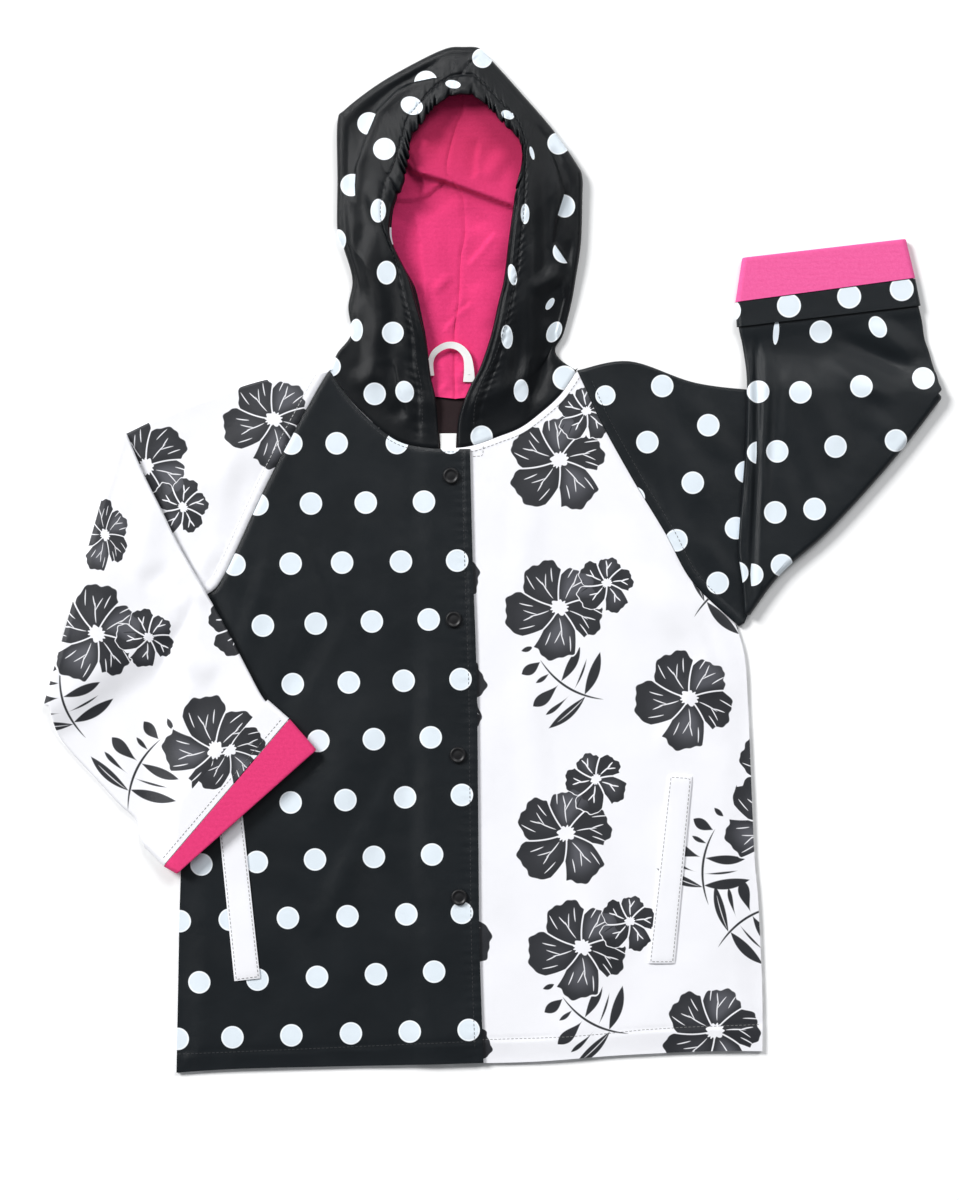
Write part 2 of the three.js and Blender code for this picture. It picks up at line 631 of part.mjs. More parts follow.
function hoodHalf(side) {
  const cut = HOOD_SIDES[side];
  const left = side === 'left';
  const { face: faceEnd, corner } = HOOD_ON_NECK[side];
  const topLine = seamLine(left ? NECK_DOTTED : NECK_FLORAL, HOOD_COLUMNS, faceEnd, corner);
  const underLine = seamLine(NECK_BACK, UNDER_COLUMNS, corner, 0.5);
  underLine[0] = topLine[topLine.length - 1].clone();
  underLine[underLine.length - 1].x += cut.turn * SEAM / 2;
  const { away, edgePoints, rimPoints, spinePoints } = hoodEdges(cut, topLine, underLine);
  const neckLift = left ? dottedLift : frontLift;
  const top = unevenPatch(rimPoints, edgePoints, topLine, HOOD_ROWS, HOOD_COLUMNS);
  const under = unevenPatch(edgePoints, spinePoints, underLine, HOOD_ROWS, UNDER_COLUMNS);
  const topHeight = (i, u, plan) => {
    const neck = neckLift(plan.x, plan.y) + WALL;
    const atCorner = smooth((u - CORNER_FROM) / (1 - CORNER_FROM));
    return hoodTop(u, HOOD_ROWS[i], mix(neck, SLEEVE_DEPTH, atCorner));
  };
  const face = (inset) => HOOD_ROWS.map((share, i) => {
    const radius = hoodHeight(share, 'edge') / 2;
    const topRow = HOOD_COLUMNS.map((u, j) => {
      const plan = top[i][j];
      return new THREE.Vector3(plan.x, plan.y, topHeight(i, u, plan) - inset);
    });
    const edgeRow = HALF_TURN_STOPS.map((turn) => {
      const round = radius - inset;
      const plan = edgePoints[i].clone().addScaledVector(away[i], round * Math.sin(Math.PI * turn));
      return new THREE.Vector3(plan.x, plan.y, radius + round * Math.cos(Math.PI * turn));
    });
    const underRow = UNDER_COLUMNS.map((_, j) => new THREE.Vector3(under[i][j].x, under[i][j].y, inset));
    return [...topRow, ...edgeRow, ...underRow];
  });
  const facingRows = HOOD_ROWS.map((share, i) => {
    const roll = left ? Math.exp(-(((share - FACING_ROLL.centre) / FACING_ROLL.spread) ** 2)) : 0;
    const way = edgePoints[i].clone().sub(rimPoints[i]);
    const wide = way.length();
    return [-FACING_ROLL.width * roll / wide, ...FACING_COLUMNS].map((u) => {
      const plan = rimPoints[i].clone().addScaledVector(way, u);
      const height = topHeight(i, Math.max(0, u), plan) - WALL - 2 * LAYER_GAP - TRIM;
      return new THREE.Vector3(plan.x, plan.y, u < 0 ? height - FACING_ROLL.drop * roll : height);
    });
  });
  return { mesh: wall(`hood_${side}`, MATERIALS.black, face(0), face(WALL)), facingRows };
}

function hood() {
  const left = hoodHalf('left');
  const right = hoodHalf('right');
  const strip = [
    ...left.facingRows.slice(FACING_FIRST_ROW),
    ...right.facingRows.slice(FACING_FIRST_ROW, -1).reverse(),
  ];
  const raised = strip.map((row) => row.map((point) => point.clone().add(new THREE.Vector3(0, 0, TRIM))));
  return [left.mesh, right.mesh, wall('hood_facing', MATERIALS.black, raised, strip)];
}

// Lining lies on the inside of the hood's back
const liningLift = (x, y) => WALL + SEAM + ridges(LINING_FOLDS, x, y);

function hoodLining() {
  const stops = shares(LINING_ROWS);
  return Object.entries(HOOD_SIDES).map(([side, { turn, lining }]) => {
    const seam = pointsOn(LINING_SEAM.map((point) => nudged(point, turn * SEAM / 2)), stops);
    const edge = pointsOn(lining, stops);
    const grid = edge.map((point, i) => shares(LINING_COLUMNS).map((u) => point.clone().lerp(seam[i], u)));
    return panel(`hood_lining_${side}`, MATERIALS.pink, grid, liningLift);
  });
}

// Trim
function quadGrid({ top, bottom }, rows, columns) {
  return shares(rows).map((v) => shares(columns).map((u) => {
    const low = vector(bottom[0]).lerp(vector(bottom[1]), u);
    return low.lerp(vector(top[0]).lerp(vector(top[1]), u), v);
  }));
}

function trim() {
  const onBack = () => WALL + SEAM;
  const onDotted = (x, y) => dottedLift(x, y) + WALL + SEAM;
  const onFloral = (x, y) => frontLift(x, y) + WALL + SEAM;
  const onLining = (x, y) => liningLift(x, y) + WALL + LAYER_GAP;
  const welt = (name) => quadGrid(WELTS[name], WELT_ROWS, WELT_COLUMNS);
  const label = (name) => quadGrid(LABELS[name], 1, 2);
  const loopMiddle = pointsOn(HANG_LOOP.line, shares(LOOP_ROWS));
  const loopCurve = curveOf(HANG_LOOP.line);
  const loop = loopMiddle.map((point, i) => {
    const along = loopCurve.getTangentAt(i / LOOP_ROWS);
    const sideways = new THREE.Vector2(-along.y, along.x);
    return [-0.5, 0, 0.5].map((share) => point.clone().addScaledVector(sideways, share * HANG_LOOP.width));
  });
  return [
    panel('welt_left', MATERIALS.white, welt('welt_left'), onDotted, TRIM),
    panel('welt_right', MATERIALS.white, welt('welt_right'), onFloral, TRIM),
    panel('neck_label', MATERIALS.label, label('neck_label'), onBack, TRIM),
    panel('size_label', MATERIALS.tape, label('size_label'), onBack, TRIM),
    panel('hang_loop', MATERIALS.tape, loop, onLining, TRIM),
  ];
}

function snapCaps() {
  const profile = SNAP_PROFILE.map(({ out, up }) => vector([out * SNAP.radius, up * SNAP.height]));
  return SNAPS.map(([x, y], i) => {
    const mesh = new THREE.Mesh(new THREE.LatheGeometry(profile, SNAP_SIDES), MATERIALS.snap);
    mesh.name = `snap_cap_${i + 1}`;
    mesh.rotation.x = Math.PI / 2;
    mesh.position.set(x, y, dottedLift(x, y) + WALL + SEAM);
    return mesh;
  });
}

const raincoat = new THREE.Group();
raincoat.add(
  ...body(),
  ...sleeve('floral', SLEEVE_FLORAL, RAGLAN_LEFT, FLORAL_FOREARM_FOLDS),
  ...sleeve('dotted', SLEEVE_DOTTED, RAGLAN_RIGHT, DOTTED_FOREARM_FOLDS),
  ...hood(),
  ...hoodLining(),
  ...trim(),
  ...snapCaps(),
);

export default raincoat;
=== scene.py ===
import math

import bpy
import numpy as np
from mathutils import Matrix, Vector
from mathutils.bvhtree import BVHTree


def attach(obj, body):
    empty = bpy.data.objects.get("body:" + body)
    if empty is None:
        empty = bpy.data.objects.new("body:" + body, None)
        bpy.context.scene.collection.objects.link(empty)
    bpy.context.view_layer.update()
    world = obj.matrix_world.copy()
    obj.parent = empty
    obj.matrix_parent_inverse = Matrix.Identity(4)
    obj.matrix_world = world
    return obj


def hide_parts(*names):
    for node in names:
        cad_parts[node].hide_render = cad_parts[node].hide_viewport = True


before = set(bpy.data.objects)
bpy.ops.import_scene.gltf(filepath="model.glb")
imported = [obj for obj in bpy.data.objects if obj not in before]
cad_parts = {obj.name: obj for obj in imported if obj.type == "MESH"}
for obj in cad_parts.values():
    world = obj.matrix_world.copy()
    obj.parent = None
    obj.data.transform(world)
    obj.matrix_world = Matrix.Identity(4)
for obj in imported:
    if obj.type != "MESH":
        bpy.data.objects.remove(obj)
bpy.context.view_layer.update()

# Lengths are in millimetres until a mesh is made.
MM = 0.001

# Cloth and layers, as in the solids
WALL = 1.2
SEAM = 0.35
LAYER_GAP = 0.4
SLEEVE_DEPTH = 4.2
CUFF_WRAP = WALL + LAYER_GAP
FOLD_RADIUS = 0.4
LAP = WALL + LAYER_GAP
SEAM_LIFT = WALL + SEAM
FRONT_LIFT = SLEEVE_DEPTH - WALL
EDGE_RUN = 22
OVER_SLEEVE = SLEEVE_DEPTH + 2 * FOLD_RADIUS
OVER_BODY = 6.3
DROP_RUN = 30

# Thickness of the thin walls that stand for the cloth
SHELL = {"panel": 0.9, "facing": 0.8, "lining": 0.8, "welt": 1.1, "label": 0.5, "tape": 0.7}

# Spacing of the points of a surface, and how long or wide the surfaces are
STEP = 2.4
SIDE_SEAM = 356
RAGLAN_SEAM = 190
SLEEVE_WIDTH = 195
PANEL_WIDTHS = {"front_dotted": 227, "front_floral": 235, "back": 430}
LINING_STEP = 1.6
LINING_SIZE = (240, 60)

# Angles over which a mesh is shaded sharp
SHARP = {"shell": 60, "tube": 75, "hood": 80, "cap": 50, "thread": 180}

# Seam lines and edges in plan
SHOULDER_LEFT = (-121, 140)
SHOULDER_RIGHT = (62, 140)
UNDERARM_LEFT = (-211, -25)
UNDERARM_RIGHT = (179, -47)
HEM_LEFT = (-234, -379)
HEM_RIGHT = (199, -363)
PLACKET_HEM = (-7, -371.5)
PLACKET_NECK = (-17, 82)
UNDERLAP_HEM = (-33, -372)
UNDERLAP_NECK = (-39, 82)
BACK_NECK = (-28, 118)
SIDE_LEFT = [HEM_LEFT, (-233, -326), (-231, -237), (-226, -141), (-218, -67), UNDERARM_LEFT]
SIDE_RIGHT = [HEM_RIGHT, (199, -318), (196, -252), (193, -215), (189, -118), (186, -72), UNDERARM_RIGHT]
RAGLAN_LEFT = [UNDERARM_LEFT, (-199, -12), (-166, 58), (-134, 118), SHOULDER_LEFT]
RAGLAN_RIGHT = [UNDERARM_RIGHT, (147, -16), (127, 20), (104, 58), (80, 101), (69, 125), SHOULDER_RIGHT]
NECK_DOTTED = [
    SHOULDER_LEFT, (-108, 121), (-95, 107), (-79, 93), (-66, 86), (-51, 83), (-38, 82), PLACKET_NECK,
]
NECK_FLORAL = [UNDERLAP_NECK, (-17, 84), (4, 91), (21, 98), (37, 110), (49, 121), (57, 132), SHOULDER_RIGHT]
NECK_BACK = [SHOULDER_LEFT, (-110, 132), (-76, 122), BACK_NECK, (20, 122), (50, 131), SHOULDER_RIGHT]
PLACKET = [PLACKET_HEM, (-10, -281), (-11, -178), (-12, -89), (-15, 0), PLACKET_NECK]
UNDERLAP = [UNDERLAP_HEM, (-36, -178), UNDERLAP_NECK]
HEM_DOTTED = [HEM_LEFT, (-187, -376), (-121, -374.5), (-54, -373), PLACKET_HEM]
HEM_FLORAL = [UNDERLAP_HEM, (27, -371), (95, -366), (162, -363), HEM_RIGHT]
HEM_BACK = [*HEM_DOTTED[:4], *HEM_FLORAL[1:]]

# Sleeves: lines across the flattened tube, from the top edge to the underarm edge. The last number of a
# row is how far the line bows with the raglan seam, or for a forearm how far the turned-back end wraps it.
SLEEVE_FLORAL = {
    "upper": [
        ((-169, 133), (-242, -46), 0.6), ((-215, 118), (-273, -67), 0.2), ((-243, 107), (-298, -84), 0),
    ],
    "fold": [(-275, 95), (-332, -107)],
    "fore": [
        ((-258, 64), (-322, -128), 0), ((-244, 36), (-312, -142), 0), ((-232, 11), (-300, -155), 0),
        ((-214, -20), (-287, -169), 0), ((-198, -48), (-276, -181), 0), ((-181, -80), (-264, -193), 0.4),
    ],
    "free": ((-166, -103), (-258, -212)),
    "seam": ((-150, -117), (-243, -226)),
    "end": ((-130, -140), (-233, -231.5)),
}
SLEEVE_DOTTED = {
    "upper": [
        ((101, 147), (181.5, -49), 0.6), ((150, 131), (183, -48.5), 0.2),
        ((202, 125), (184.5, -47.5), 0), ((254, 122), (186, -46), 0),
    ],
    "fold": [(332, 120), (296, 74), (249, 22), (213, -10), (189, -42)],
    "fore": [
        ((331, 126), (184, -16), 0), ((329, 131), (181, 6), 0), ((328, 136), (182, 28), 0),
        ((326, 141), (184, 54), 0), ((324, 148), (186, 82), 0), ((322, 155), (187, 110), 0),
        ((319, 164), (187, 137), 0), ((317.5, 177), (184, 158), 0.4),
    ],
    "free": ((316, 188), (180, 172)),
    "seam": ((312, 208), (179, 190)),
    "end": ((305, 237), (184, 223)),
}

# Hood edges in plan, from the neck up to the crown; span is its stretch of the neckline
CROWN = (-22, 379)
CROWN_RIM = (-24, 344)
CROWN_UNDER = (-22, 340)
HOOD_LEFT = {
    "turn": -1,
    "span": (0.82, 0),
    "outline": [(-115, 153), (-105, 167), (-107, 187), (-104, 207), (-110, 229), (-115, 243), (-115, 281),
                (-115, 323), (-109, 333), (-84, 352), (-54, 369), (-34, 378)],
    "rim": [(-42, 116), (-46, 136), (-50, 164), (-57, 190), (-62, 207), (-70, 223), (-76, 240), (-73, 262),
            (-67, 277), (-63, 292), (-60, 310), (-51, 324), (-41, 336), (-31, 342)],
    "lining": [(-54, 122), (-72, 170), (-86, 215), (-93, 255), (-88, 296), (-70, 325), (-47, 343)],
}
HOOD_RIGHT = {
    "turn": 1,
    "span": (0.105, 1),
    "outline": [(50, 148), (46, 156), (52, 167), (58, 190), (61, 207), (65, 234), (66, 266), (66, 283),
                (62, 292), (44, 318), (18, 348), (-1, 369), (-10, 378)],
    "rim": [(-26, 101), (-22, 116), (-17, 128), (-10, 141), (-2, 164), (4, 190), (8, 207), (12, 240),
            (17, 273), (21, 292), (20, 307), (12, 317), (0, 330), (-9, 339), (-17, 343)],
    "lining": [(-2, 122), (14, 160), (28, 200), (38, 244), (40, 281), (29, 311), (3, 340)],
}

# Heights of the hood: share of the way up, face edge, outline and swell
HOOD_HEIGHTS = np.array([
    (0, 4.2, 4.2, 0), (0.14, 8.5, 5, 1.2), (0.35, 14, 8, 2.6),
    (0.6, 17, 9.4, 3.2), (0.85, 15.5, 9.4, 1.6), (1, 13.5, 9, 0.8),
])
GATHERS = {"per_side": 13, "from": 0.62, "height": 3.2, "scallop": -2.2, "reach": 0.34}
RIM_ROLL = 1.6
ROLL_LOWEST = 0.3


# Plan curves and patches
def columns_at(at, stops, table):
    """Each column of a table, read between its stops."""
    return np.column_stack([np.interp(at, stops, column) for column in table.T])


def along_line(line, stops):
    """Points of a line at shares of its length."""
    run = np.concatenate([[0], np.cumsum(np.linalg.norm(np.diff(line, axis=0), axis=1))])
    return columns_at(np.asarray(stops) * run[-1], run, line)


def length_of(line):
    return np.linalg.norm(np.diff(line, axis=0), axis=1).sum()


def spline(rows, stops):
    """Points of a smooth curve through rows, at shares of its length."""
    points = np.array(rows, float)
    ends = np.vstack([points[:1], points, points[-1:]])
    t = np.linspace(0, 1, 40, endpoint=False)[:, None]
    pieces = []
    for a, b, c, d in zip(ends[:-3], ends[1:-2], ends[2:-1], ends[3:]):
        slope_b, slope_c = (c - a) / 2, (d - b) / 2
        pieces.append(b + slope_b * t + (3 * (c - b) - 2 * slope_b - slope_c) * t**2
                      + (2 * (b - c) + slope_b + slope_c) * t**3)
    return along_line(np.vstack([*pieces, points[-1:]]), stops)


def shares(count):
    return np.linspace(0, 1, count + 1)


def steps_along(length, step=STEP):
    return max(4, round(length / step))


def smooth(value):
    value = np.clip(value, 0, 1)
    return value * value * (3 - 2 * value)


def mix(low, high, share):
    return low + (high - low) * share


def normals_of(line):
    """Unit normals on the left of a plan line."""
    along = np.gradient(line, axis=0)
    along /= np.linalg.norm(along, axis=1)[:, None]
    return np.column_stack([-along[:, 1], along[:, 0]])


def patch(left, right, bottom, top):
    """A grid between four plan edges, rows from the bottom to the top."""
    v = shares(len(left) - 1)[:, None, None]
    u = shares(len(bottom) - 1)[None, :, None]
    across = mix(left[:, None], right[:, None], u)
    upward = mix(bottom[None], top[None], v)
    corners = mix(mix(left[0], right[0], u), mix(left[-1], right[-1], u), v)
    return across + upward - corners


def to_segment(x, y, start, end):
    """Distance of points from a segment, and the share of the way along it."""
    step = np.subtract(end, start)
    share = np.clip(((x - start[0]) * step[0] + (y - start[1]) * step[1]) / (step @ step), 0, 1)
    return np.hypot(x - start[0] - share * step[0], y - start[1] - share * step[1]), share


def to_line(line, x, y):
    return np.min([to_segment(x, y, a, b)[0] for a, b in zip(line[:-1], line[1:])], axis=0)


def beside(line, x, y):
    """Distance from a plan line, positive on its right, and how far along it the nearest place is."""
    nearest, signed, along, run = np.full(np.shape(x), np.inf), 0.0, 0.0, 0.0
    for start, end in zip(line[:-1], line[1:]):
        distance, share = to_segment(x, y, start, end)
        right = (end[1] - start[1]) * (x - start[0]) - (end[0] - start[0]) * (y - start[1])
        closer = distance < nearest
        nearest = np.where(closer, distance, nearest)
        signed = np.where(closer, np.copysign(distance, right), signed)
        along = np.where(closer, run + share * math.dist(start, end), along)
        run += math.dist(start, end)
    return signed, along


def bell(distance, width):
    return np.exp(-((distance / width) ** 2))


# Relief of a seam, and how far from a row of stitches its puckers reach
VALLEY = {"depth": 0.9, "width": 1.4}
GROOVE = {"depth": 0.3, "width": 0.8}
DOUBLING = 0.4
PUCKER_REACH = 6


def puckers(along):
    """Small waves that a thread draws into cloth."""
    return np.sin(along * 0.93 + 0.8 * np.sin(along * 0.21))


def groove(distance):
    return -GROOVE["depth"] * bell(distance, GROOVE["width"])


def seam_relief(line, x, y, allowance=0.0):
    """A seam's valley, its allowances as a low ridge up to the topstitching, and the thread's puckers.

    The allowance's sign says on which side of the line it lies.
    """
    signed, along = beside(line, x, y)
    relief = -VALLEY["depth"] * bell(signed, VALLEY["width"])
    if allowance:
        across = signed / allowance
        ridge = smooth(across * 4) * smooth((1.12 - across) * 6)
        waves = 0.14 * puckers(along) * bell(across - 0.8, 0.7)
        relief = relief + DOUBLING * ridge + groove(signed - allowance) + waves
    return relief


def sway(x, y):
    """The cloth's own slight waves."""
    slow = np.sin(x / 19 + 1.4 * np.sin(y / 33)) * np.sin(y / 27 - 0.9 * np.sin(x / 24))
    quick = np.sin(x / 9.5 - 1.1 * np.sin(y / 14) + y / 21)
    return 0.3 * slow + 0.07 * quick


def tuck(line, drop, fade, x, y, run=26):
    """A folded edge along a line: the cloth on its left lies lower, and rises again over run."""
    signed, along = beside(line, x, y)
    ends = smooth(along / fade) * smooth((length_of(line) - along) / fade)
    return ends * (-drop * smooth(-signed / 0.9) * smooth(1 + signed / run) + 0.5 * bell(signed - 1.5, 3))


def within(outline, x, y):
    inside = np.zeros(np.shape(x), bool)
    for (ax, ay), (bx, by) in zip(outline, np.roll(outline, 1, axis=0)):
        if ay != by:
            inside ^= ((ay > y) != (by > y)) & (x < ax + (bx - ax) * (y - ay) / (by - ay))
    return inside


def creases(table, x, y):
    """Height of soft ridges and troughs; a row is start, end, width and height."""
    total = np.zeros(np.shape(x))
    for start, end, width, height in table:
        distance, share = to_segment(x, y, start, end)
        total += height * smooth(1 - distance / (2 * width)) * smooth(4 * share * (1 - share))
    return total


# Prints: where the dots and flowers lie in plan. A face that no motif reaches is this many radii away.
NOWHERE = 9.0
NO_PRINT = {"flowers": [], "buds": [], "sprigs": []}


def local_to_motifs(corners, motifs):
    """Each face's corners in the frame of its nearest motif: x, y, radius, turn in degrees, squeeze."""
    if not motifs:
        return np.full(corners.shape, NOWHERE)
    motifs = np.array([(*row, 1.0)[:5] for row in motifs], float)
    centre = corners.mean(axis=1)
    reach = np.linalg.norm(centre[:, None] - motifs[None, :, :2], axis=2) / motifs[None, :, 2]
    row = motifs[np.argmin(reach, axis=1)]
    turn = np.radians(row[:, 3])[:, None]
    offset = (corners - row[:, None, :2]) / row[:, None, 2:3]
    return np.stack([
        (offset[..., 0] * np.cos(turn) + offset[..., 1] * np.sin(turn)) / row[:, 4:],
        -offset[..., 0] * np.sin(turn) + offset[..., 1] * np.cos(turn),
    ], axis=-1)


# Meshes
def grid_faces(rows, columns, closed=False, start=0, flip=False):
    i, j = np.meshgrid(np.arange(rows - 1), np.arange(columns if closed else columns - 1), indexing="ij")
    following = (j + 1) % columns
    quads = np.stack([i * columns + j, i * columns + following,
                      (i + 1) * columns + following, (i + 1) * columns + j], axis=-1).reshape(-1, 4)
    return (quads[:, ::-1] if flip else quads) + start


def add_mesh(name, points, faces, material, layers, sharp, stands_in=True):
    """A piece from points in millimetres; layers are UV maps, one [face, corner, 2] array each.

    It stands in for the solid of its name, unless it is dressing that has none.
    """
    mesh = bpy.data.meshes.new(name)
    mesh.from_pydata((np.asarray(points) * MM).tolist(), [], np.asarray(faces).tolist())
    for layer, values in layers.items():
        mesh.uv_layers.new(name=layer).data.foreach_set("uv", np.ascontiguousarray(values, float).ravel())
    mesh.materials.append(material)
    mesh.shade_smooth()
    mesh.set_sharp_from_angle(angle=math.radians(sharp))
    piece = bpy.data.objects.new(name, mesh)
    bpy.context.scene.collection.objects.link(piece)
    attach(piece, "root")
    if stands_in:
        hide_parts(name)
    return piece


def plan_layers(points, faces, prints):
    """UV maps of a surface from its plan: the cloth in metres, and each print's frame."""
    corners = points[faces][..., :2]
    layers = {"cloth": corners * MM}
    if "sprigs" in prints:
        prints = {"low_sprigs": [], **prints}
    return layers | {name: local_to_motifs(corners, motifs) for name, motifs in prints.items()}


def repaint(layers, points, faces, chosen, prints):
    """Gives the chosen faces another lay of the print."""
    for name, motifs in prints.items():
        layers[name][chosen] = local_to_motifs(points[faces[chosen]][..., :2], motifs)


def add_beyond(layers, points, faces, line, motifs):
    """A second set of dots that takes over on the left of a plan line."""
    corners = points[faces][..., :2]
    signed, _ = beside(line, corners[..., 0], corners[..., 1])
    layers["outer_dots"] = local_to_motifs(corners, motifs)
    layers["side"] = np.stack([signed, 0 * signed], axis=-1)


def facing_down(points, faces):
    a, b, c, d = (points[faces[:, k]] for k in range(4))
    return np.cross(c - a, d - b)[:, 2] < 0


def shell(name, top, thickness, material, prints, extra=None):
    """A thin wall under a grid of points, with its edges closed. extra adds UV maps of its own."""
    rows, columns = top.shape[:2]
    count = rows * columns
    points = np.vstack([top.reshape(-1, 3), (top - np.array([0, 0, thickness])).reshape(-1, 3)])
    ring = border(rows, columns)
    rim = np.column_stack([ring + count, np.roll(ring, -1) + count, np.roll(ring, -1), ring])
    faces = np.vstack([grid_faces(rows, columns), grid_faces(rows, columns, start=count, flip=True), rim])
    layers = plan_layers(points, faces, prints)
    if extra:
        extra(layers, points, faces)
    return add_mesh(name, points, faces, material, layers, SHARP["shell"])


def border(rows, columns):
    """Indices round the edge of a grid, in order."""
    low = np.arange(columns)
    right = np.arange(1, rows) * columns + columns - 1
    high = (rows - 1) * columns + np.arange(columns - 2, -1, -1)
    left = np.arange(rows - 2, 0, -1) * columns
    return np.concatenate([low, right, high, left])


# Shader fields
class Field:
    """A value that varies over a surface, as the output of a node."""

    def __init__(self, tree, socket):
        self.tree, self.socket = tree, socket

    def math(self, operation, *others):
        node = self.tree.nodes.new("ShaderNodeMath")
        node.operation = operation
        for slot, value in zip(node.inputs, (self, *others)):
            if isinstance(value, Field):
                self.tree.links.new(value.socket, slot)
            else:
                slot.default_value = value
        return Field(self.tree, node.outputs[0])

    def __add__(self, other):
        return self.math("ADD", other)

    def __sub__(self, other):
        return self.math("SUBTRACT", other)

    def __mul__(self, other):
        return self.math("MULTIPLY", other)

    def abs(self):
        return self.math("ABSOLUTE")

    def sin(self):
        return self.math("SINE")

    def most(self, other):
        return self.math("MAXIMUM", other)

    def least(self, other):
        return self.math("MINIMUM", other)

    def below(self, limit, soft):
        """1 where the value is under the limit, with a soft edge."""
        return ((self - limit) * (-1 / soft) + 0.5).most(0).least(1)


def new_material(name):
    material = bpy.data.materials.new(name)
    material.use_nodes = True
    tree = material.node_tree
    shader = tree.nodes["Principled BSDF"]
    return material, tree, shader


def uv_fields(tree, layer):
    source = tree.nodes.new("ShaderNodeUVMap")
    source.uv_map = layer
    split = tree.nodes.new("ShaderNodeSeparateXYZ")
    tree.links.new(source.outputs[0], split.inputs[0])
    return source.outputs[0], Field(tree, split.outputs[0]), Field(tree, split.outputs[1])


def noise(tree, vector, scale, detail, roughness=0.5):
    node = tree.nodes.new("ShaderNodeTexNoise")
    node.inputs["Scale"].default_value = scale
    node.inputs["Detail"].default_value = detail
    node.inputs["Roughness"].default_value = roughness
    tree.links.new(vector, node.inputs["Vector"])
    return Field(tree, node.outputs["Fac"])


def mix_colours(tree, share, low, high):
    node = tree.nodes.new("ShaderNodeMix")
    node.data_type = "RGBA"
    for slot, value in ((node.inputs[0], share), (node.inputs[6], low), (node.inputs[7], high)):
        if isinstance(value, Field):
            tree.links.new(value.socket, slot)
        elif isinstance(value, bpy.types.NodeSocket):
            tree.links.new(value, slot)
        else:
            slot.default_value = (*value, 1)
    return node.outputs[2]


def add_bump(tree, shader, height, distance, strength=1.0):
    node = tree.nodes.new("ShaderNodeBump")
    node.inputs["Distance"].default_value = distance
    node.inputs["Strength"].default_value = strength
    tree.links.new(height.socket, node.inputs["Height"])
    tree.links.new(node.outputs[0], shader.inputs["Normal"])


# Pitches and depths of bumps in metres, and how many spots of noise there are to a metre
WEAVE_PITCH = 0.0006
CLOTH_BUMP = 0.0012
GRAIN_SCALE = 900
WRINKLE_SCALE = 38
GLOSS_SCALE = 60
COURSE_PITCH = 0.0009
WALE_PITCH = 0.0012
JERSEY_BUMP = 0.0008
FIBRE_BUMP = 0.0001
FIBRE_SCALE = 2500


def weave_height(x, y):
    """Plain weave: threads that rise and dip in turn."""
    wave = 2 * math.pi / WEAVE_PITCH
    return (x * wave).sin() * (y * wave).sin()


def cloth_base(name, roughness, sheen, specular=0.5):
    material, tree, shader = new_material(name)
    shader.inputs["Roughness"].default_value = roughness
    shader.inputs["Sheen Weight"].default_value = sheen
    shader.inputs["Sheen Roughness"].default_value = 0.4
    shader.inputs["Specular IOR Level"].default_value = specular
    vector, x, y = uv_fields(tree, "cloth")
    return material, tree, shader, vector, x, y


def finish_cloth(tree, shader, vector, x, y, colour, wrinkle):
    tree.links.new(colour, shader.inputs["Base Color"])
    grain = noise(tree, vector, GRAIN_SCALE, 1) * 0.03
    height = weave_height(x, y) * 0.03 + noise(tree, vector, WRINKLE_SCALE, 3) * wrinkle + grain
    add_bump(tree, shader, height, CLOTH_BUMP)
    rough = noise(tree, vector, GLOSS_SCALE, 2) * 0.14 + (shader.inputs["Roughness"].default_value - 0.07)
    tree.links.new(rough.socket, shader.inputs["Roughness"])


def dotted_cloth(name, low, high):
    material, tree, shader, vector, x, y = cloth_base(name, 0.34, 0.0, 0.25)
    _, dx, dy = uv_fields(tree, "dots")
    _, outer_x, outer_y = uv_fields(tree, "outer_dots")
    _, side, _ = uv_fields(tree, "side")
    near = (dx * dx + dy * dy).math("SQRT")
    beyond = side.below(-0.3, 0.3)
    outer = (outer_x * outer_x + outer_y * outer_y).math("SQRT")
    radius = near * (beyond * -1 + 1) + outer * beyond
    tone = noise(tree, vector, 25, 2)
    black = mix_colours(tree, tone, low, high)
    white = mix_colours(tree, radius.below(0.88, 0.1), (0.86, 0.90, 0.94), (0.71, 0.78, 0.84))
    finish_cloth(tree, shader, vector, x, y, mix_colours(tree, radius.below(1, 0.035), black, white), 0.5)
    return material


PETALS = 5
SECTOR = 2 * math.pi / PETALS
SOFT = 0.01

# A petal's veins: slant across the petal, offset, radius where it is level, start and end radius
VEINS = [
    (0.10, 0.0, 0.40, 0.20, 0.60), (-0.42, 0.0, 0.44, 0.43, 0.70), (0.40, 0.0, 0.50, 0.49, 0.74),
    (0.22, 0.23, 0.70, 0.58, 0.88), (-0.26, -0.22, 0.66, 0.50, 0.78),
]


def stroke(offset, radius, start, end, half):
    """A line with rounded ends, from its offset and the radii where it starts and ends."""
    along = (radius - start) * (1 / (end - start))
    taper = (along * (along * -4 + 4)).most(0).math("POWER", 0.4)
    return (offset.abs() - taper * half).below(-SOFT / 2, SOFT)


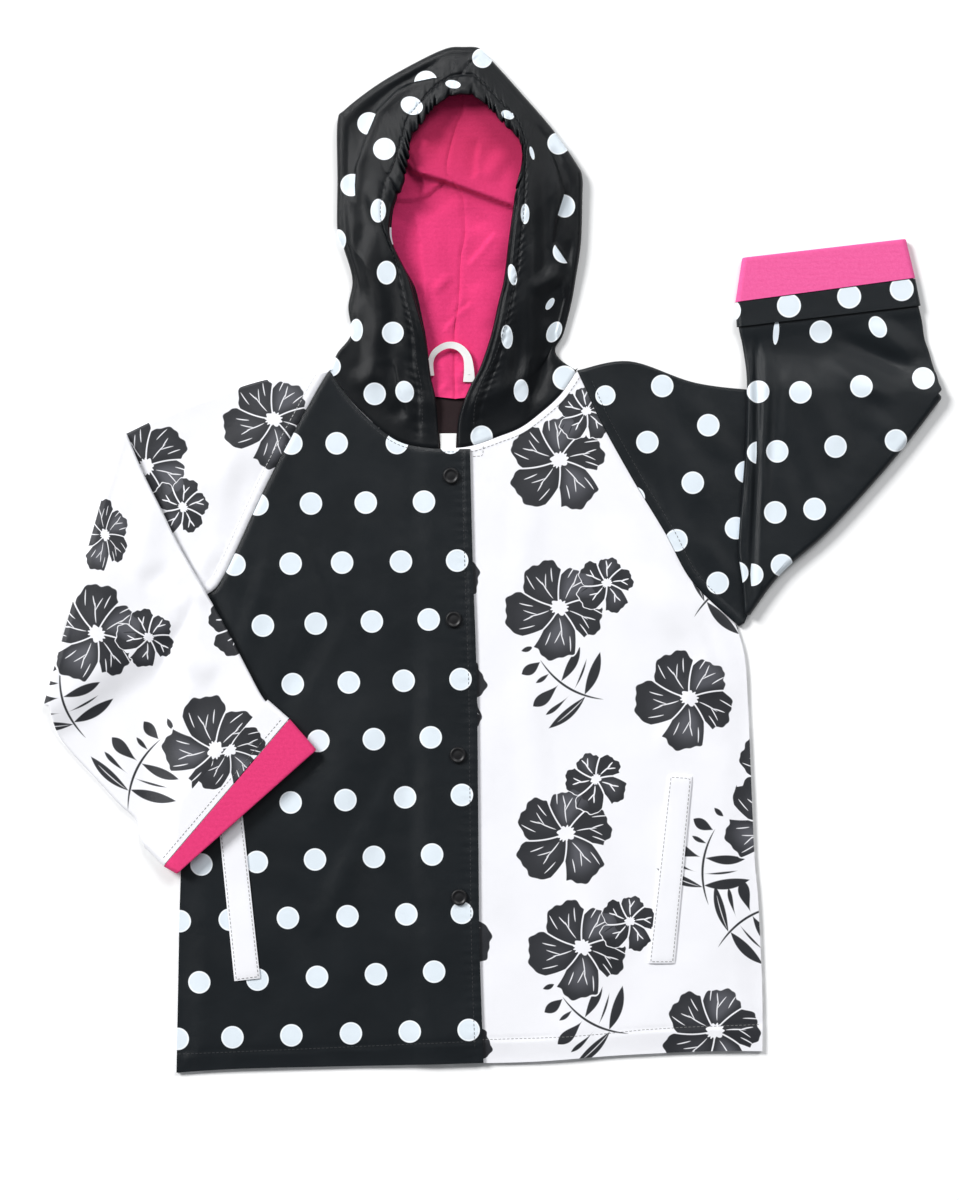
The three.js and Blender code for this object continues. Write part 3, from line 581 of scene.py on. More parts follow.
def flower_mask(tree, layer, line, veins):
    """An open five-petalled flower from its polar form: its dark petals, it with its outline, and a painted
    sheen that lightens its petals' middles.

    Two of the gaps between petals open wide, and one petal is the longest.
    """
    _, x, y = uv_fields(tree, layer)
    radius = (x * x + y * y).math("SQRT")
    angle = y.math("ARCTAN2", x)
    part = (angle + (radius - 0.4) * 0.3) * (1 / SECTOR) + 2 * PETALS
    petal = part.math("FLOOR")
    place = part - petal - 0.5
    size = (petal * SECTOR - math.radians(68)).sin() * 0.12 + 0.93
    other = (petal * (2 * SECTOR) + 1.0).sin()
    lobe = (place * math.pi).math("COSINE").math("POWER", 0.6)
    ruffle = (place * 15.0 + other * 3.0).sin() * 0.03 + (place * 35.0 + size * 40.0).sin() * 0.013
    edge = (lobe * 0.27 + 0.74) * size + ruffle
    breadth = radius * SECTOR
    side = place * breadth
    open_gap = ((part + 0.5).math("FLOOR") * SECTOR - math.radians(162)).sin().most(0)
    notch = (radius + open_gap * 0.28 - 0.76).most(0) * (open_gap * 0.36 + 0.09)
    to_gap = (place.abs() * -1 + 0.5) * breadth - notch
    spikes = (angle * 11.0 + (angle * 2.0).sin() * 3.0).sin() * 0.02
    core = (angle + 0.6).math("COSINE").abs() * 0.035 + spikes + 0.13
    pale = to_gap.below(line * 0.9, SOFT).most((radius - core).below(0, SOFT))
    for slant, offset, level, start, end in VEINS[:veins]:
        bend = (radius - level) * (other * 0.14 + slant) + other * 0.03 + offset
        pale = pale.most(stroke(side - bend, radius, start, end, line))
    dark = (radius - edge).below(0, SOFT * 1.5)
    # Painted highlight: the middle of each petal is lighter, as satin catches the light
    sheen = (place * place * -3.6 + 1) * (radius * math.pi).sin().most(0) * (other * 0.5 + 0.6)
    return dark * (pale * -1 + 1), (radius - edge - 0.03).below(0, SOFT), sheen.most(0)


# A sprig's stem runs from 0 to 1 along x and sags by SAG; a leaf's row is the place of its foot,
# its direction in degrees, length, half width, place of its widest part and whether a pale midrib shows
SAG = 0.46
SPRIG_MIDDLE = (0.45, -0.1)
LEAVES = [
    (0.383, 93, 0.57, 0.068, 0.55, False), (0.60, 100, 0.50, 0.020, 0.55, False),
    (0.76, 102, 0.65, 0.075, 0.5, False), (0.0, -114, 0.33, 0.078, 0.6, False),
    (0.19, -112, 0.25, 0.035, 0.6, False), (0.385, -107, 0.51, 0.085, 0.68, False),
    (0.60, -107, 0.52, 0.036, 0.74, False), (0.785, -107, 0.70, 0.070, 0.52, True),
    (-0.2, -128, 0.18, 0.04, 0.5, False),
]


def leaf_mask(x, y, leaf):
    foot, lean, length, half, widest, midrib = leaf
    cos, sin = math.cos(math.radians(lean)), math.sin(math.radians(lean))
    across, forward = x - foot, y + SAG * foot * (1 - foot)
    along = (across * cos + forward * sin) * (1 / length)
    inside = along * (along * -1 + 1)
    bow = inside * (0.14 * length * (1 if lean > 0 else -1))
    off = forward * cos - across * sin + bow
    power = widest / (1 - widest)
    swelling = along.most(0).math("POWER", power) * (along * -1 + 1).most(0)
    peak = widest ** power * (1 - widest)
    mask = (off.abs() - swelling * (half / peak)).below(-SOFT / 2, SOFT) * inside.math("GREATER_THAN", 0)
    if midrib:
        mask = mask * (stroke(off, along, 0.08, 0.78, 0.010) * -1 + 1)
    return mask


def sprig_mask(tree, layer):
    """A sagging stem with slim leaves on one side and ovate ones on the other: 1 on its dark parts."""
    _, x, y = uv_fields(tree, layer)
    x, y = x + SPRIG_MIDDLE[0], y + SPRIG_MIDDLE[1]
    mask = stroke(y + x * (x * -1 + 1) * SAG, x, -0.02, 1.02, 0.021)
    for leaf in LEAVES:
        mask = mask.most(leaf_mask(x, y, leaf))
    return mask


def floral_cloth():
    material, tree, shader, vector, x, y = cloth_base("floral_cloth", 0.45, 0.05, 0.4)
    large, large_halo, large_painted_sheen = flower_mask(tree, "flowers", 0.0155, 5)
    small, small_halo, small_painted_sheen = flower_mask(tree, "buds", 0.026, 3)
    leaves = sprig_mask(tree, "sprigs").most(sprig_mask(tree, "low_sprigs"))
    print_on = (leaves * (large_halo * -1 + 1)).most(large)
    print_on = (print_on * (small_halo * -1 + 1)).most(small)
    _, bare, _ = uv_fields(tree, "bare")
    print_on = print_on * ((bare * 40).math("MINIMUM", 1).most(0) * -1 + 1)
    # Painted sheen: the petals' middles are lightened towards grey, over a random tone
    sheen = large_painted_sheen * large + small_painted_sheen * small * 0.7
    tone = noise(tree, vector, 26, 2) * 0.25 + sheen * sheen * 1.1
    dark = mix_colours(tree, tone.least(1), (0.0075, 0.0085, 0.0115), (0.080, 0.082, 0.096))
    finish_cloth(tree, shader, vector, x, y, mix_colours(tree, print_on, (0.84, 0.84, 0.875), dark), 0.3)
    return material


# Painted shade: the lining's colour darkens towards the top of the hood, for the shade that lies deep inside
# it
PAINTED_SHADE_PINK = (0.36, 0.002, 0.04)
PAINTED_SHADE_FROM = 0.245
PAINTED_SHADE_RUN = 0.06
PAINTED_SHADE_SHARE = 0.55


def jersey(name, low, high):
    material, tree, shader, vector, x, y = cloth_base(name, 0.85, 0.1)
    shader.inputs["Sheen Tint"].default_value = (1.0, 0.45, 0.65, 1)
    tone = noise(tree, vector, 420, 3, 0.7)
    colour = mix_colours(tree, tone, low, high)
    # Painted shade: high up in the hood the jersey's colour is mixed towards a darker pink
    depth = ((y - PAINTED_SHADE_FROM) * (1 / PAINTED_SHADE_RUN)).most(0).least(1) * PAINTED_SHADE_SHARE
    colour = mix_colours(tree, depth, colour, PAINTED_SHADE_PINK)
    tree.links.new(colour, shader.inputs["Base Color"])
    column = x * (2 * math.pi / WALE_PITCH)
    rib = column.sin() * (y * (2 * math.pi / COURSE_PITCH) + column.sin()).sin()
    add_bump(tree, shader, rib * 0.12 + noise(tree, vector, 700, 2) * 0.25, JERSEY_BUMP)
    return material


def plain(name, colour, roughness, fleck, sheen=0.1):
    material, tree, shader, vector, x, y = cloth_base(name, roughness, sheen, 0.3)
    tone = noise(tree, vector, 300, 2)
    light = tuple(min(1, channel * (1 + fleck)) for channel in colour)
    finish_cloth(tree, shader, vector, x, y, mix_colours(tree, tone, colour, light), 0.2)
    return material


def cap_plastic():
    material, tree, shader = new_material("snap")
    shader.inputs["Base Color"].default_value = (0.007, 0.007, 0.008, 1)
    shader.inputs["Specular IOR Level"].default_value = 0.35
    place = tree.nodes.new("ShaderNodeTexCoord").outputs["Object"]
    grain = noise(tree, place, GRAIN_SCALE, 3)
    add_bump(tree, shader, grain, FIBRE_BUMP, 0.4)
    tree.links.new((noise(tree, place, 120, 3) * 0.2 + 0.34).socket, shader.inputs["Roughness"])
    return material


def thread(name, low, high):
    material, tree, shader = new_material(name)
    place = tree.nodes.new("ShaderNodeTexCoord").outputs["Object"]
    fibres = noise(tree, place, FIBRE_SCALE, 2)
    tree.links.new(mix_colours(tree, fibres, low, high), shader.inputs["Base Color"])
    shader.inputs["Roughness"].default_value = 0.6
    add_bump(tree, shader, fibres, FIBRE_BUMP)
    return material


DOTTED = dotted_cloth("dotted_cloth", (0.0046, 0.0066, 0.0084), (0.0098, 0.0126, 0.0155))
# A darker copy of the dotted cloth for the hood: painted shade, for the folds and gathers that shade the hood
DOTTED_HOOD_PAINTED_SHADE = dotted_cloth("dotted_hood_cloth_painted_shade", (0.0018, 0.0026, 0.0036), (0.0046, 0.0060, 0.0078))
FLORAL = floral_cloth()
PINK = jersey("pink_lining", (0.66, 0.016, 0.125), (0.86, 0.044, 0.215))
# The lining's jersey made lighter for the dotted cuff: painted light, as that cuff lies brighter in the light
PINK_PAINTED_LIGHT = jersey("pink_turned_cuff_painted_light", (0.78, 0.068, 0.26), (0.90, 0.14, 0.40))
TAPE = plain("white_tape", (0.84, 0.84, 0.83), 0.7, 0.06)
# The neck label's own dark red, made darker still as painted shade for the shade it lies in between the
# hood's edges
LABEL_DARK_WITH_PAINTED_SHADE = plain("dark_label", (0.009, 0.002, 0.003), 0.7, 0.6, 0.0)
SNAP = cap_plastic()
BLACK_THREAD = thread("black_thread", (0.01, 0.011, 0.013), (0.04, 0.042, 0.046))
GREY_THREAD = thread("grey_thread", (0.10, 0.10, 0.10), (0.26, 0.26, 0.25))
WHITE_THREAD = thread("white_thread", (0.5, 0.5, 0.5), (0.8, 0.8, 0.8))


# Stitches, laid along plan lines on top of a piece
STITCH = {"pitch": 3.1, "length": 2.4, "radius": 0.21}
# A stitch's profile: share of its length, height over the cloth and share of its radius
STITCH_PROFILE = [(0, -0.3, 0.6), (0.18, 0.08, 1), (0.5, 0.16, 1), (0.82, 0.08, 1), (1, -0.3, 0.6)]
THREAD_SIDES = 5
RAY_HEIGHT = 0.1


def on_top_of(piece):
    """Finds the height and normal of a piece's top at plan points."""
    points = [vertex.co[:] for vertex in piece.data.vertices]
    tree = BVHTree.FromPolygons(points, [face.vertices[:] for face in piece.data.polygons])

    def find(x, y):
        place, normal, *_ = tree.ray_cast(Vector((x * MM, y * MM, RAY_HEIGHT)), Vector((0, 0, -1)))
        return (None, None) if place is None else (np.array(place) / MM, np.array(normal))

    return find


def stitch_ends(find, line):
    """Both ends and the upward direction of each stitch of a run along a plan line."""
    length = length_of(line)
    count = int(length / STITCH["pitch"])
    half = STITCH["length"] / 2 / length
    ends = []
    for middle in (np.arange(count) + 0.5) / count:
        first, last = along_line(line, [middle - half, middle + half])
        (a, up), (b, _) = find(*first), find(*last)
        if a is not None and b is not None and abs(a[2] - b[2]) < STITCH["length"]:
            ends.append((a, b, up))
    return ends


def stitches(name, runs, material):
    """One piece of thread from runs of (piece, plan line)."""
    ends = [end for piece, line in runs for end in stitch_ends(on_top_of(piece), np.asarray(line, float))]
    a, b, up = (np.array(part) for part in zip(*ends))
    side = np.cross(b - a, up)
    side /= np.linalg.norm(side, axis=1)[:, None]
    turns = np.arange(THREAD_SIDES) * 2 * math.pi / THREAD_SIDES
    rings = []
    for share, rise, scale in STITCH_PROFILE:
        centre = mix(a, b, share) + up * rise
        radius = STITCH["radius"] * scale
        rings.append(centre[:, None] + radius * (side[:, None] * np.cos(turns)[None, :, None]
                                                 + up[:, None] * np.sin(turns)[None, :, None]))
    points = np.stack(rings, axis=1).reshape(-1, 3)
    one = grid_faces(len(STITCH_PROFILE), THREAD_SIDES, closed=True)
    starts = np.arange(len(a)) * len(STITCH_PROFILE) * THREAD_SIDES
    faces = (one[None] + starts[:, None, None]).reshape(-1, 4)
    add_mesh(name, points, faces, material, {}, SHARP["thread"], stands_in=False)


# Body
DOT = 8.25


def dots(*places, radius=DOT):
    """Round dots at plan places."""
    return [(x, y, radius, 0) for x, y in places]


def dot_rows(rows):
    """Dots of rows charted as height of the first dot, of the last one, and their places across."""
    return dots(*[place for first, last, xs in rows for place in zip(xs, np.linspace(first, last, len(xs)))])


FRONT_DOTS = dot_rows([
    (86, 86.5, [-149, -115.5, -71, -31.5]), (41, 43, [-174, -134.5, -94, -51]),
    (-3.5, -0.5, [-191, -149.5, -111.5, -68, -26.5]), (-50, -44, [-208, -170, -131, -89.5, -47.5]),
    (-93, -88, [-189.5, -148, -106.5, -66, -24]), (-135, -131, [-170, -129, -88, -46]),
    (-181, -173.5, [-191, -149.5, -109, -65, -23]), (-225, -217.5, [-215.5, -174.5, -131.5, -88, -45]),
    (-267, -260.5, [-231.5, -194.5, -151.5, -107.5, -64, -23]),
    (-312, -304, [-217, -174, -130, -86.5, -43.5]),
    (-354, -347, [-233, -192.5, -149, -105, -61.5, -18]),
])
FRONT_FLOWERS = [
    (49, 74, 38.5, 55), (49, -35, 38.5, 20), (145, -102, 38.5, 17), (54, -202, 38.5, 53),
    (66, -286, 38.5, 20), (164, -348, 38.5, 45), (208, -195, 37, -43), (214, -152, 34, 60),
    (238, -282, 38, -95),
    (-45, -13, 33, -170), (-42, -104, 38, -134), (-40.5, -281, 37, -172), (-32, -368, 31, -140),
]
FRONT_BUDS = [(69, 110, 22, 60), (84, -17, 22.5, 50), (76, -162, 24, 85), (101, -267, 22.5, 50)]
# The back's flowers, mostly a guess: the front's mirrored, those of the side edge, and the front's own
BACK_FLOWERS = [
    *[(-30 - x, y, radius, 180 - turn) for x, y, radius, turn in FRONT_FLOWERS],
    (188, -118, 36, 10), (198, -178, 34, 70), (202, -245, 36, -20), (203, -310, 34, 40), *FRONT_FLOWERS,
]
# Sprigs by the tip of the stem by its flower: x, y, length of the stem, direction
FRONT_STEMS = [
    (35.5, -74.7, 53.2, -32), (52, -323.7, 53.8, -29), (163.5, -199.8, 54.2, -95),
    (194.2, -12, 53.7, -147),
]
LOW_STEMS = [(211.8, -256, 53.7, -147)]


def sprigs(stems):
    """Motif rows of sprigs, moved from the tip of the stem to the sprig's middle."""
    rows = []
    for x, y, length, turn in stems:
        cos, sin = math.cos(math.radians(turn)), math.sin(math.radians(turn))
        ahead, aside = SPRIG_MIDDLE[0] * length, SPRIG_MIDDLE[1] * length
        rows.append((x + ahead * cos - aside * sin, y + ahead * sin + aside * cos, length, turn))
    return rows


FRONT_SPRIGS = {"sprigs": sprigs(FRONT_STEMS), "low_sprigs": sprigs(LOW_STEMS)}
BODY_CREASES = [
    ((-70, -90), (-150, -225), 15, 1.5), ((-118, -60), (-100, -330), 13, 1.2),
    ((82, 32), (140, -62), 11, 1.7), ((110, -4), (172, -104), 10, 1.6), ((60, -150), (88, -330), 14, 1.2),
    ((-92, 70), (-62, -70), 14, 1.2), ((-110, -20), (-178, -150), 8, -0.9),
    ((-60, -60), (-66, -240), 8, -0.8), ((95, -30), (160, -150), 7, -0.9), ((60, 60), (112, -20), 7, -0.8),
    ((120, -180), (176, -300), 11, 1.0), ((20, -60), (40, -220), 9, 0.8),
    ((-190, -240), (-120, -340), 11, 0.9), ((0, -250), (60, -350), 8, -0.7),
    ((-45, -110), (-140, -290), 7, 0.8), ((-160, 20), (-196, -110), 6, 0.8),
    ((-148, 50), (-110, -60), 6, -0.7), ((150, -30), (178, -100), 5, -0.8), ((164, -60), (120, -150), 6, 0.7),
    ((30, 70), (20, -40), 9, 0.7), ((-80, -260), (-40, -350), 8, 0.7),
]
HEM_STITCH_LEFT = [(-233, -365.2), (-121, -360.5), (-12, -355.4)]
HEM_STITCH_RIGHT = [(-31, -355), (57, -352.2), (121.4, -346.3), (197, -343.3)]
PLACKET_STITCH = 6.0
PLACKET_BEND = -64
PLACKET_BEND_RUN = 21
BACK_HEIGHT = 0.9
RAGLAN_ALLOWANCE = 6.7
NECK_BAND = 4.2
UNDERLAP_BOX = [(-15.4, 76.5), (-7.6, 76.8), (-7.2, 84.6)]


def body_edge(side, raglan):
    """One edge of the body, up the side seam and the raglan seam."""
    upper = shares(steps_along(RAGLAN_SEAM))[1:]
    return np.vstack([spline(side, shares(steps_along(SIDE_SEAM))), spline(raglan, upper)])


LEFT_EDGE = body_edge(SIDE_LEFT, RAGLAN_LEFT)
RIGHT_EDGE = body_edge(SIDE_RIGHT, RAGLAN_RIGHT)
BODY_OUTLINE = np.vstack([LEFT_EDGE[::4], RIGHT_EDGE[::-4]])
SEWN_EDGES = [spline(rows, shares(24)) for rows in (SIDE_LEFT, SIDE_RIGHT, HEM_BACK)]
RAGLANS = [spline(rows, shares(30)) for rows in (RAGLAN_LEFT, RAGLAN_RIGHT)]
NECKLINES = [spline(rows, shares(30)) for rows in (NECK_DOTTED, NECK_FLORAL)]
HEM_STITCHES = [spline(rows, shares(8)) for rows in (HEM_STITCH_LEFT, HEM_STITCH_RIGHT)]


def moved_line(rows, distance, count=40):
    """A smooth plan line moved to its right."""
    line = spline(rows, shares(count))
    return line - normals_of(line) * distance


PLACKET_LINE = moved_line(PLACKET, -PLACKET_STITCH)
NECK_BAND_LINE = moved_line(NECK_FLORAL, NECK_BAND)[5:]


def doubled(line, x, y, side):
    """Cloth doubled on one side of a row of stitches: 1 right, -1 left."""
    signed, along = beside(line, x, y)
    waves = 0.16 * puckers(along) * bell(signed, PUCKER_REACH)
    return DOUBLING * smooth(signed * side / 1.6) + groove(signed) + waves


def dotted_relief(x, y):
    relief = doubled(HEM_STITCHES[0], x, y, 1) + doubled(PLACKET_LINE, x, y, 1) + sway(x, y)
    return relief + seam_relief(RAGLANS[0], x, y) + seam_relief(NECKLINES[0], x, y)


def floral_relief(x, y):
    relief = doubled(HEM_STITCHES[1], x, y, 1) + seam_relief(NECKLINES[1], x, y, NECK_BAND) + sway(x, y)
    return relief + seam_relief(RAGLANS[1], x, y)


def front_lift(x, y):
    from_edge = np.min([to_line(line, x, y) for line in SEWN_EDGES], axis=0)
    raised = smooth(from_edge / EDGE_RUN)
    return mix(SEAM_LIFT, FRONT_LIFT + creases(BODY_CREASES, x, y), raised)


def dotted_lift(x, y):
    """The front that laps over the other rises towards the placket."""
    return front_lift(x, y) + LAP * smooth((x - PLACKET_BEND) / PLACKET_BEND_RUN)


def height_over(grid, lift):
    x, y = grid[..., 0], grid[..., 1]
    return np.dstack([grid, lift(x, y)])


def bare_band(layers, points, faces):
    """Marks the band along the floral neckline, which has no print on it."""
    corners = points[faces][..., :2]
    signed, _ = beside(NECKLINES[1], corners[..., 0], corners[..., 1])
    layers["bare"] = np.stack([(NECK_BAND - signed) / 10, 0 * signed], axis=-1)


def body():
    rows = shares(len(LEFT_EDGE) - 1)

    def panel(name, left, right, bottom, top, lift, material, prints, extra=None):
        stops = shares(steps_along(PANEL_WIDTHS[name]))
        grid = patch(left, right, spline(bottom, stops), spline(top, stops))
        return shell(name, height_over(grid, lift), SHELL["panel"], material, prints, extra)

    dotted = panel(
        "front_dotted", LEFT_EDGE, spline(PLACKET, rows), HEM_DOTTED, NECK_DOTTED,
        lambda x, y: dotted_lift(x, y) + WALL + dotted_relief(x, y),
        DOTTED, {"dots": FRONT_DOTS},
    )
    floral = panel(
        "front_floral", spline(UNDERLAP, rows), RIGHT_EDGE, HEM_FLORAL, NECK_FLORAL,
        lambda x, y: front_lift(x, y) + WALL + floral_relief(x, y),
        FLORAL, {"flowers": FRONT_FLOWERS, "buds": FRONT_BUDS, **FRONT_SPRIGS}, bare_band,
    )
    back = panel(
        "back", LEFT_EDGE, RIGHT_EDGE, HEM_BACK, NECK_BACK, lambda x, y: np.full(x.shape, BACK_HEIGHT),
        FLORAL, {"flowers": BACK_FLOWERS, "buds": FRONT_BUDS, **FRONT_SPRIGS},
    )
    return dotted, floral


FRONT_DOTTED, FRONT_FLORAL = body()


# Sleeves
def flat_ring(length, depth, inset=0.0):
    """A flat oval as [distance across, height], from the top face round the underarm edge and back."""
    radius = depth / 2
    count = steps_along(SLEEVE_WIDTH)
    stops = np.clip(shares(count) * length, radius, length - radius)
    turns = shares(6)[1:-1] * math.pi
    rim = radius - inset
    right = np.column_stack([length - radius + rim * np.sin(turns), radius + rim * np.cos(turns)])
    left = np.column_stack([radius - rim * np.sin(turns), radius - rim * np.cos(turns)])
    return np.vstack([
        np.column_stack([stops, np.full(count + 1, depth - inset)]), right,
        np.column_stack([stops[::-1], np.full(count + 1, inset)]), left,
    ])


def rest_on(supports):
    """Height of what lies under a folded forearm, falling to the floor past its edges."""

    def height_at(x, y):
        heights = []
        for outline, height in supports:
            closed = np.vstack([outline, outline[:1]])
            drop = smooth((to_line(closed, x, y) - 1) / DROP_RUN)
            heights.append(np.where(within(outline, x, y), height, height * (1 - drop)))
        return np.max(heights, axis=0)

    return height_at


def smooth_rows(rows):
    """Rows of two ends and a value, filled in smoothly, about a step apart."""
    table = np.array([[*a, *b, value] for a, b, value in rows], float)
    middle = (table[:, :2] + table[:, 2:4]) / 2
    pairs = max(2, int(length_of(middle) / (STEP * 2)))
    return spline(table, shares(pairs * 2))


def between(low, high, share):
    return tuple(tuple(mix(np.array(a, float), np.array(b, float), share)) for a, b in zip(low, high))


RAGLAN_STOPS = shares(40)
FOLD_STOPS = shares(60)
FOLD_TURNS = shares(12) * math.pi


def square_to(start, end, towards):
    """Unit direction square to a line in plan, on the side that another direction points to."""
    across = end - start
    away = np.array([-across[1], across[0]]) / np.linalg.norm(across)
    return away * (1 if away @ towards > 0 else -1)


def over_middle(height, depth):
    """1 on the top face of a flattened tube, falling to 0 at half its depth."""
    return smooth((height - depth / 2) / (depth / 2))


class Sleeve:
    """One flattened sleeve: rings along it, and the height that its forearm rests at."""

    def __init__(self, cut, raglan, folds, side):
        self.cut, self.folds = cut, folds
        self.allowance = side * RAGLAN_ALLOWANCE
        self.seam = spline(raglan, RAGLAN_STOPS)
        low, high = self.seam[0], self.seam[-1]
        gap = square_to(high, low, np.array([side, 0])) * SEAM
        self.bend = self.seam[::-1] - mix(high, low, RAGLAN_STOPS[:, None])
        self.upper_rows = [(tuple(high + gap), tuple(low + gap), 1.0), *cut["upper"]]
        top_edge = [row[0] for row in self.upper_rows]
        underarm = [row[1] for row in self.upper_rows]
        outline = np.array([*top_edge, *cut["fold"], *underarm[::-1]], float)
        self.rest = rest_on([(outline, OVER_SLEEVE), (BODY_OUTLINE, OVER_BODY)])

    def plan(self, a, b, along, length, bow=0.0):
        """Plan points of a ring, bowed as the raglan seam is."""
        share = np.clip(along / length, 0, 1)
        return a + (b - a) * (along / length)[:, None] + columns_at(share, RAGLAN_STOPS, self.bend) * bow

    def upper(self):
        rings = []
        for row in smooth_rows([*self.upper_rows, (*self.axis_ends(), 0)])[:-1]:
            a, b, bow = row[:2], row[2:4], max(0, row[4])
            length = np.linalg.norm(b - a)
            ring = flat_ring(length, SLEEVE_DEPTH)
            plan = self.plan(a, b, ring[:, 0], length, bow)
            rise = creases(SLEEVE_UPPER_CREASES, *plan.T) + sway(*plan.T)
            rise += seam_relief(self.seam, *plan.T, self.allowance)
            height = ring[:, 1] + over_middle(ring[:, 1], SLEEVE_DEPTH) * rise
            rings.append(np.column_stack([plan, height]))
        return rings

    def fold_line(self):
        line = spline(self.cut["fold"], FOLD_STOPS)
        return line, square_to(line[0], line[-1], line[0])

    def axis_ends(self):
        line, away = self.fold_line()
        axis = line - away * (SLEEVE_DEPTH + FOLD_RADIUS)
        return tuple(axis[0]), tuple(axis[-1])

    def fold(self):
        line, away = self.fold_line()
        length = length_of(line)
        height = SLEEVE_DEPTH + FOLD_RADIUS
        ring = flat_ring(length, SLEEVE_DEPTH)
        on_line = columns_at(np.clip(ring[:, 0] / length, 0, 1), FOLD_STOPS, line)
        radius = height - ring[:, 1]
        rings = []
        for turn in FOLD_TURNS:
            plan = on_line + away * (radius * math.sin(turn) - height)[:, None]
            rings.append(np.column_stack([plan, height - radius * math.cos(turn)]))
        return rings

    def fore_rows(self):
        """Rows of the forearm, run on inside its turned-back end."""
        free, seam, end = (self.cut[name] for name in ("free", "seam", "end"))
        inside = [
            between(free, seam, -0.12), between(free, seam, 0.5), seam,
            between(seam, end, 0.5), between(seam, end, 0.88),
        ]
        return [*self.cut["fore"], *[(a, b, CUFF_WRAP) for a, b in inside]]

    def forearm(self):
        rows = smooth_rows([(*self.axis_ends(), 0), *self.fore_rows()])[1:]
        return [self.fore_ring(row[:2], row[2:4], float(np.clip(row[4], 0, CUFF_WRAP))) for row in rows]

    def fore_ring(self, a, b, wrap):
        depth = SLEEVE_DEPTH + 2 * wrap
        length = np.linalg.norm(b - a)
        ring = flat_ring(length, depth, wrap)
        plan = self.plan(a, b, ring[:, 0], length)
        flipped = depth - ring[:, 1]
        rise = (creases(self.folds, *plan.T) + sway(*plan.T)) * (1 - wrap / CUFF_WRAP)
        return np.column_stack([plan, self.rest(*plan.T) + flipped + over_middle(flipped, depth) * rise])

    def cuff_ring(self, line, inset=0.0):
        a, b = np.array(line, float)
        length = np.linalg.norm(b - a)
        ring = flat_ring(length, SLEEVE_DEPTH + 2 * CUFF_WRAP, inset)
        plan = self.plan(a, b, ring[:, 0], length)
        return np.column_stack([plan, self.rest(*plan.T) + ring[:, 1]])


def tube(name, rings, material, prints, extra=None):
    grid = np.array(rings)
    faces = grid_faces(*grid.shape[:2], closed=True)
    points = grid.reshape(-1, 3)
    if tube_volume(points, faces) < 0:
        faces = faces[:, ::-1]
    layers = plan_layers(points, faces, prints)
    if extra:
        extra(layers, points, faces)
    return add_mesh(name, points, faces, material, layers, SHARP["tube"])


def tube_volume(points, faces):
    """Sign of the space inside, to turn the faces outward."""
    a, b, c, d = (points[faces[:, k]] for k in range(4))
    return float((np.cross(b - a, c - a) * a).sum() + (np.cross(c - a, d - a) * a).sum())


FLORAL_UPPER_PRINT = {
    "flowers": [(-162, 104, 36, 25), (-256, 69, 36, -55)],
    "buds": [(-229, 39, 22.5, -20)],
    "sprigs": [],
}
FLORAL_FORE_PRINT = {
    "flowers": [(-286, 18.5, 28, 0, 0.75), (-292, -54.5, 38.5, -12), (-204.5, -140, 38.5, -63)],
    "buds": [(-254, -57, 22.5, 10), (-185, -45, 26, 70)],
    "sprigs": sprigs([(-319, -80, 53.7, -71), (-246, -133, 55.9, -115)]),
}
FLORAL_UNDER = {
    "flowers": [(-170, 60, 37, 100), (-230, 20, 35, 40), (-290, -60, 35, 200), (-220, -110, 35, 10)],
    "buds": [(-150, 100, 22, 0), (-260, 60, 22, 0)],
    "sprigs": sprigs([(-250, -40, 46, 30)]),
}
DOTTED_UPPER_DOTS = [
    (83, 121.5, 7.4, 0),
    *dots((125, 128.5), (114, 87), (159, 99.5), (147.5, 57), (135.5, 14.5), (187, 65), (179.5, 23.5),
          (104, 46), (168, 139), (166, -17), (150, -34), (203, 107), (194, -16)),
]
DOTTED_FORE_DOTS = [
    *dots((242, 168.5), (226.5, 123.5), (271.5, 128), (317.5, 134), (252.5, 83.5), (297, 88), (209.5, 80),
          (237, 37.5), (208, 35), (195.4, 124), (191, -11), (213, -4), (327, 178)),
    (284, 172, 8.4, 29, 0.72), (209, 168, 9, -4, 0.24),
]
# The strip behind the forearm's seam has its own lay of dots
STRIP_DOTS = dots((195.4, 124), (195.4, 79), (180, -9.6), (196, 230))
FOREARM_SEAM = [(194.6, 170), (195.4, 124.3), (194.6, 77.7), (192.4, 29.6), (190.2, -11), (191.7, -42)]
SLEEVE_UPPER_CREASES = [
    ((-150, 112), (-240, 30), 12, 1.2), ((96, 118), (170, 30), 12, 1.2), ((-190, 105), (-205, 10), 7, 0.8),
    ((-225, 95), (-262, 20), 7, -0.8), ((120, 110), (150, 10), 6, -0.8), ((140, 125), (178, 70), 7, 0.9),
    ((-200, 20), (-230, -30), 6, 0.8), ((150, 20), (180, -20), 6, 0.8),
]
FLORAL_FORE_CREASES = [
    ((-236, 2), (-206, -34), 7, 1.4), ((-238, -62), (-204, -88), 8, 1.6),
    ((-282, 20), (-300, -120), 12, 1.3), ((-233, -5), (-262, -20), 6, -0.9),
    ((-228, -50), (-262, -70), 6, -0.8), ((-222, -86), (-250, -150), 7, 0.9),
    ((-246, 60), (-268, -40), 8, 0.9), ((-306, -60), (-280, -150), 8, -0.8),
    ((-216, -20), (-240, -40), 5, 0.7),
]
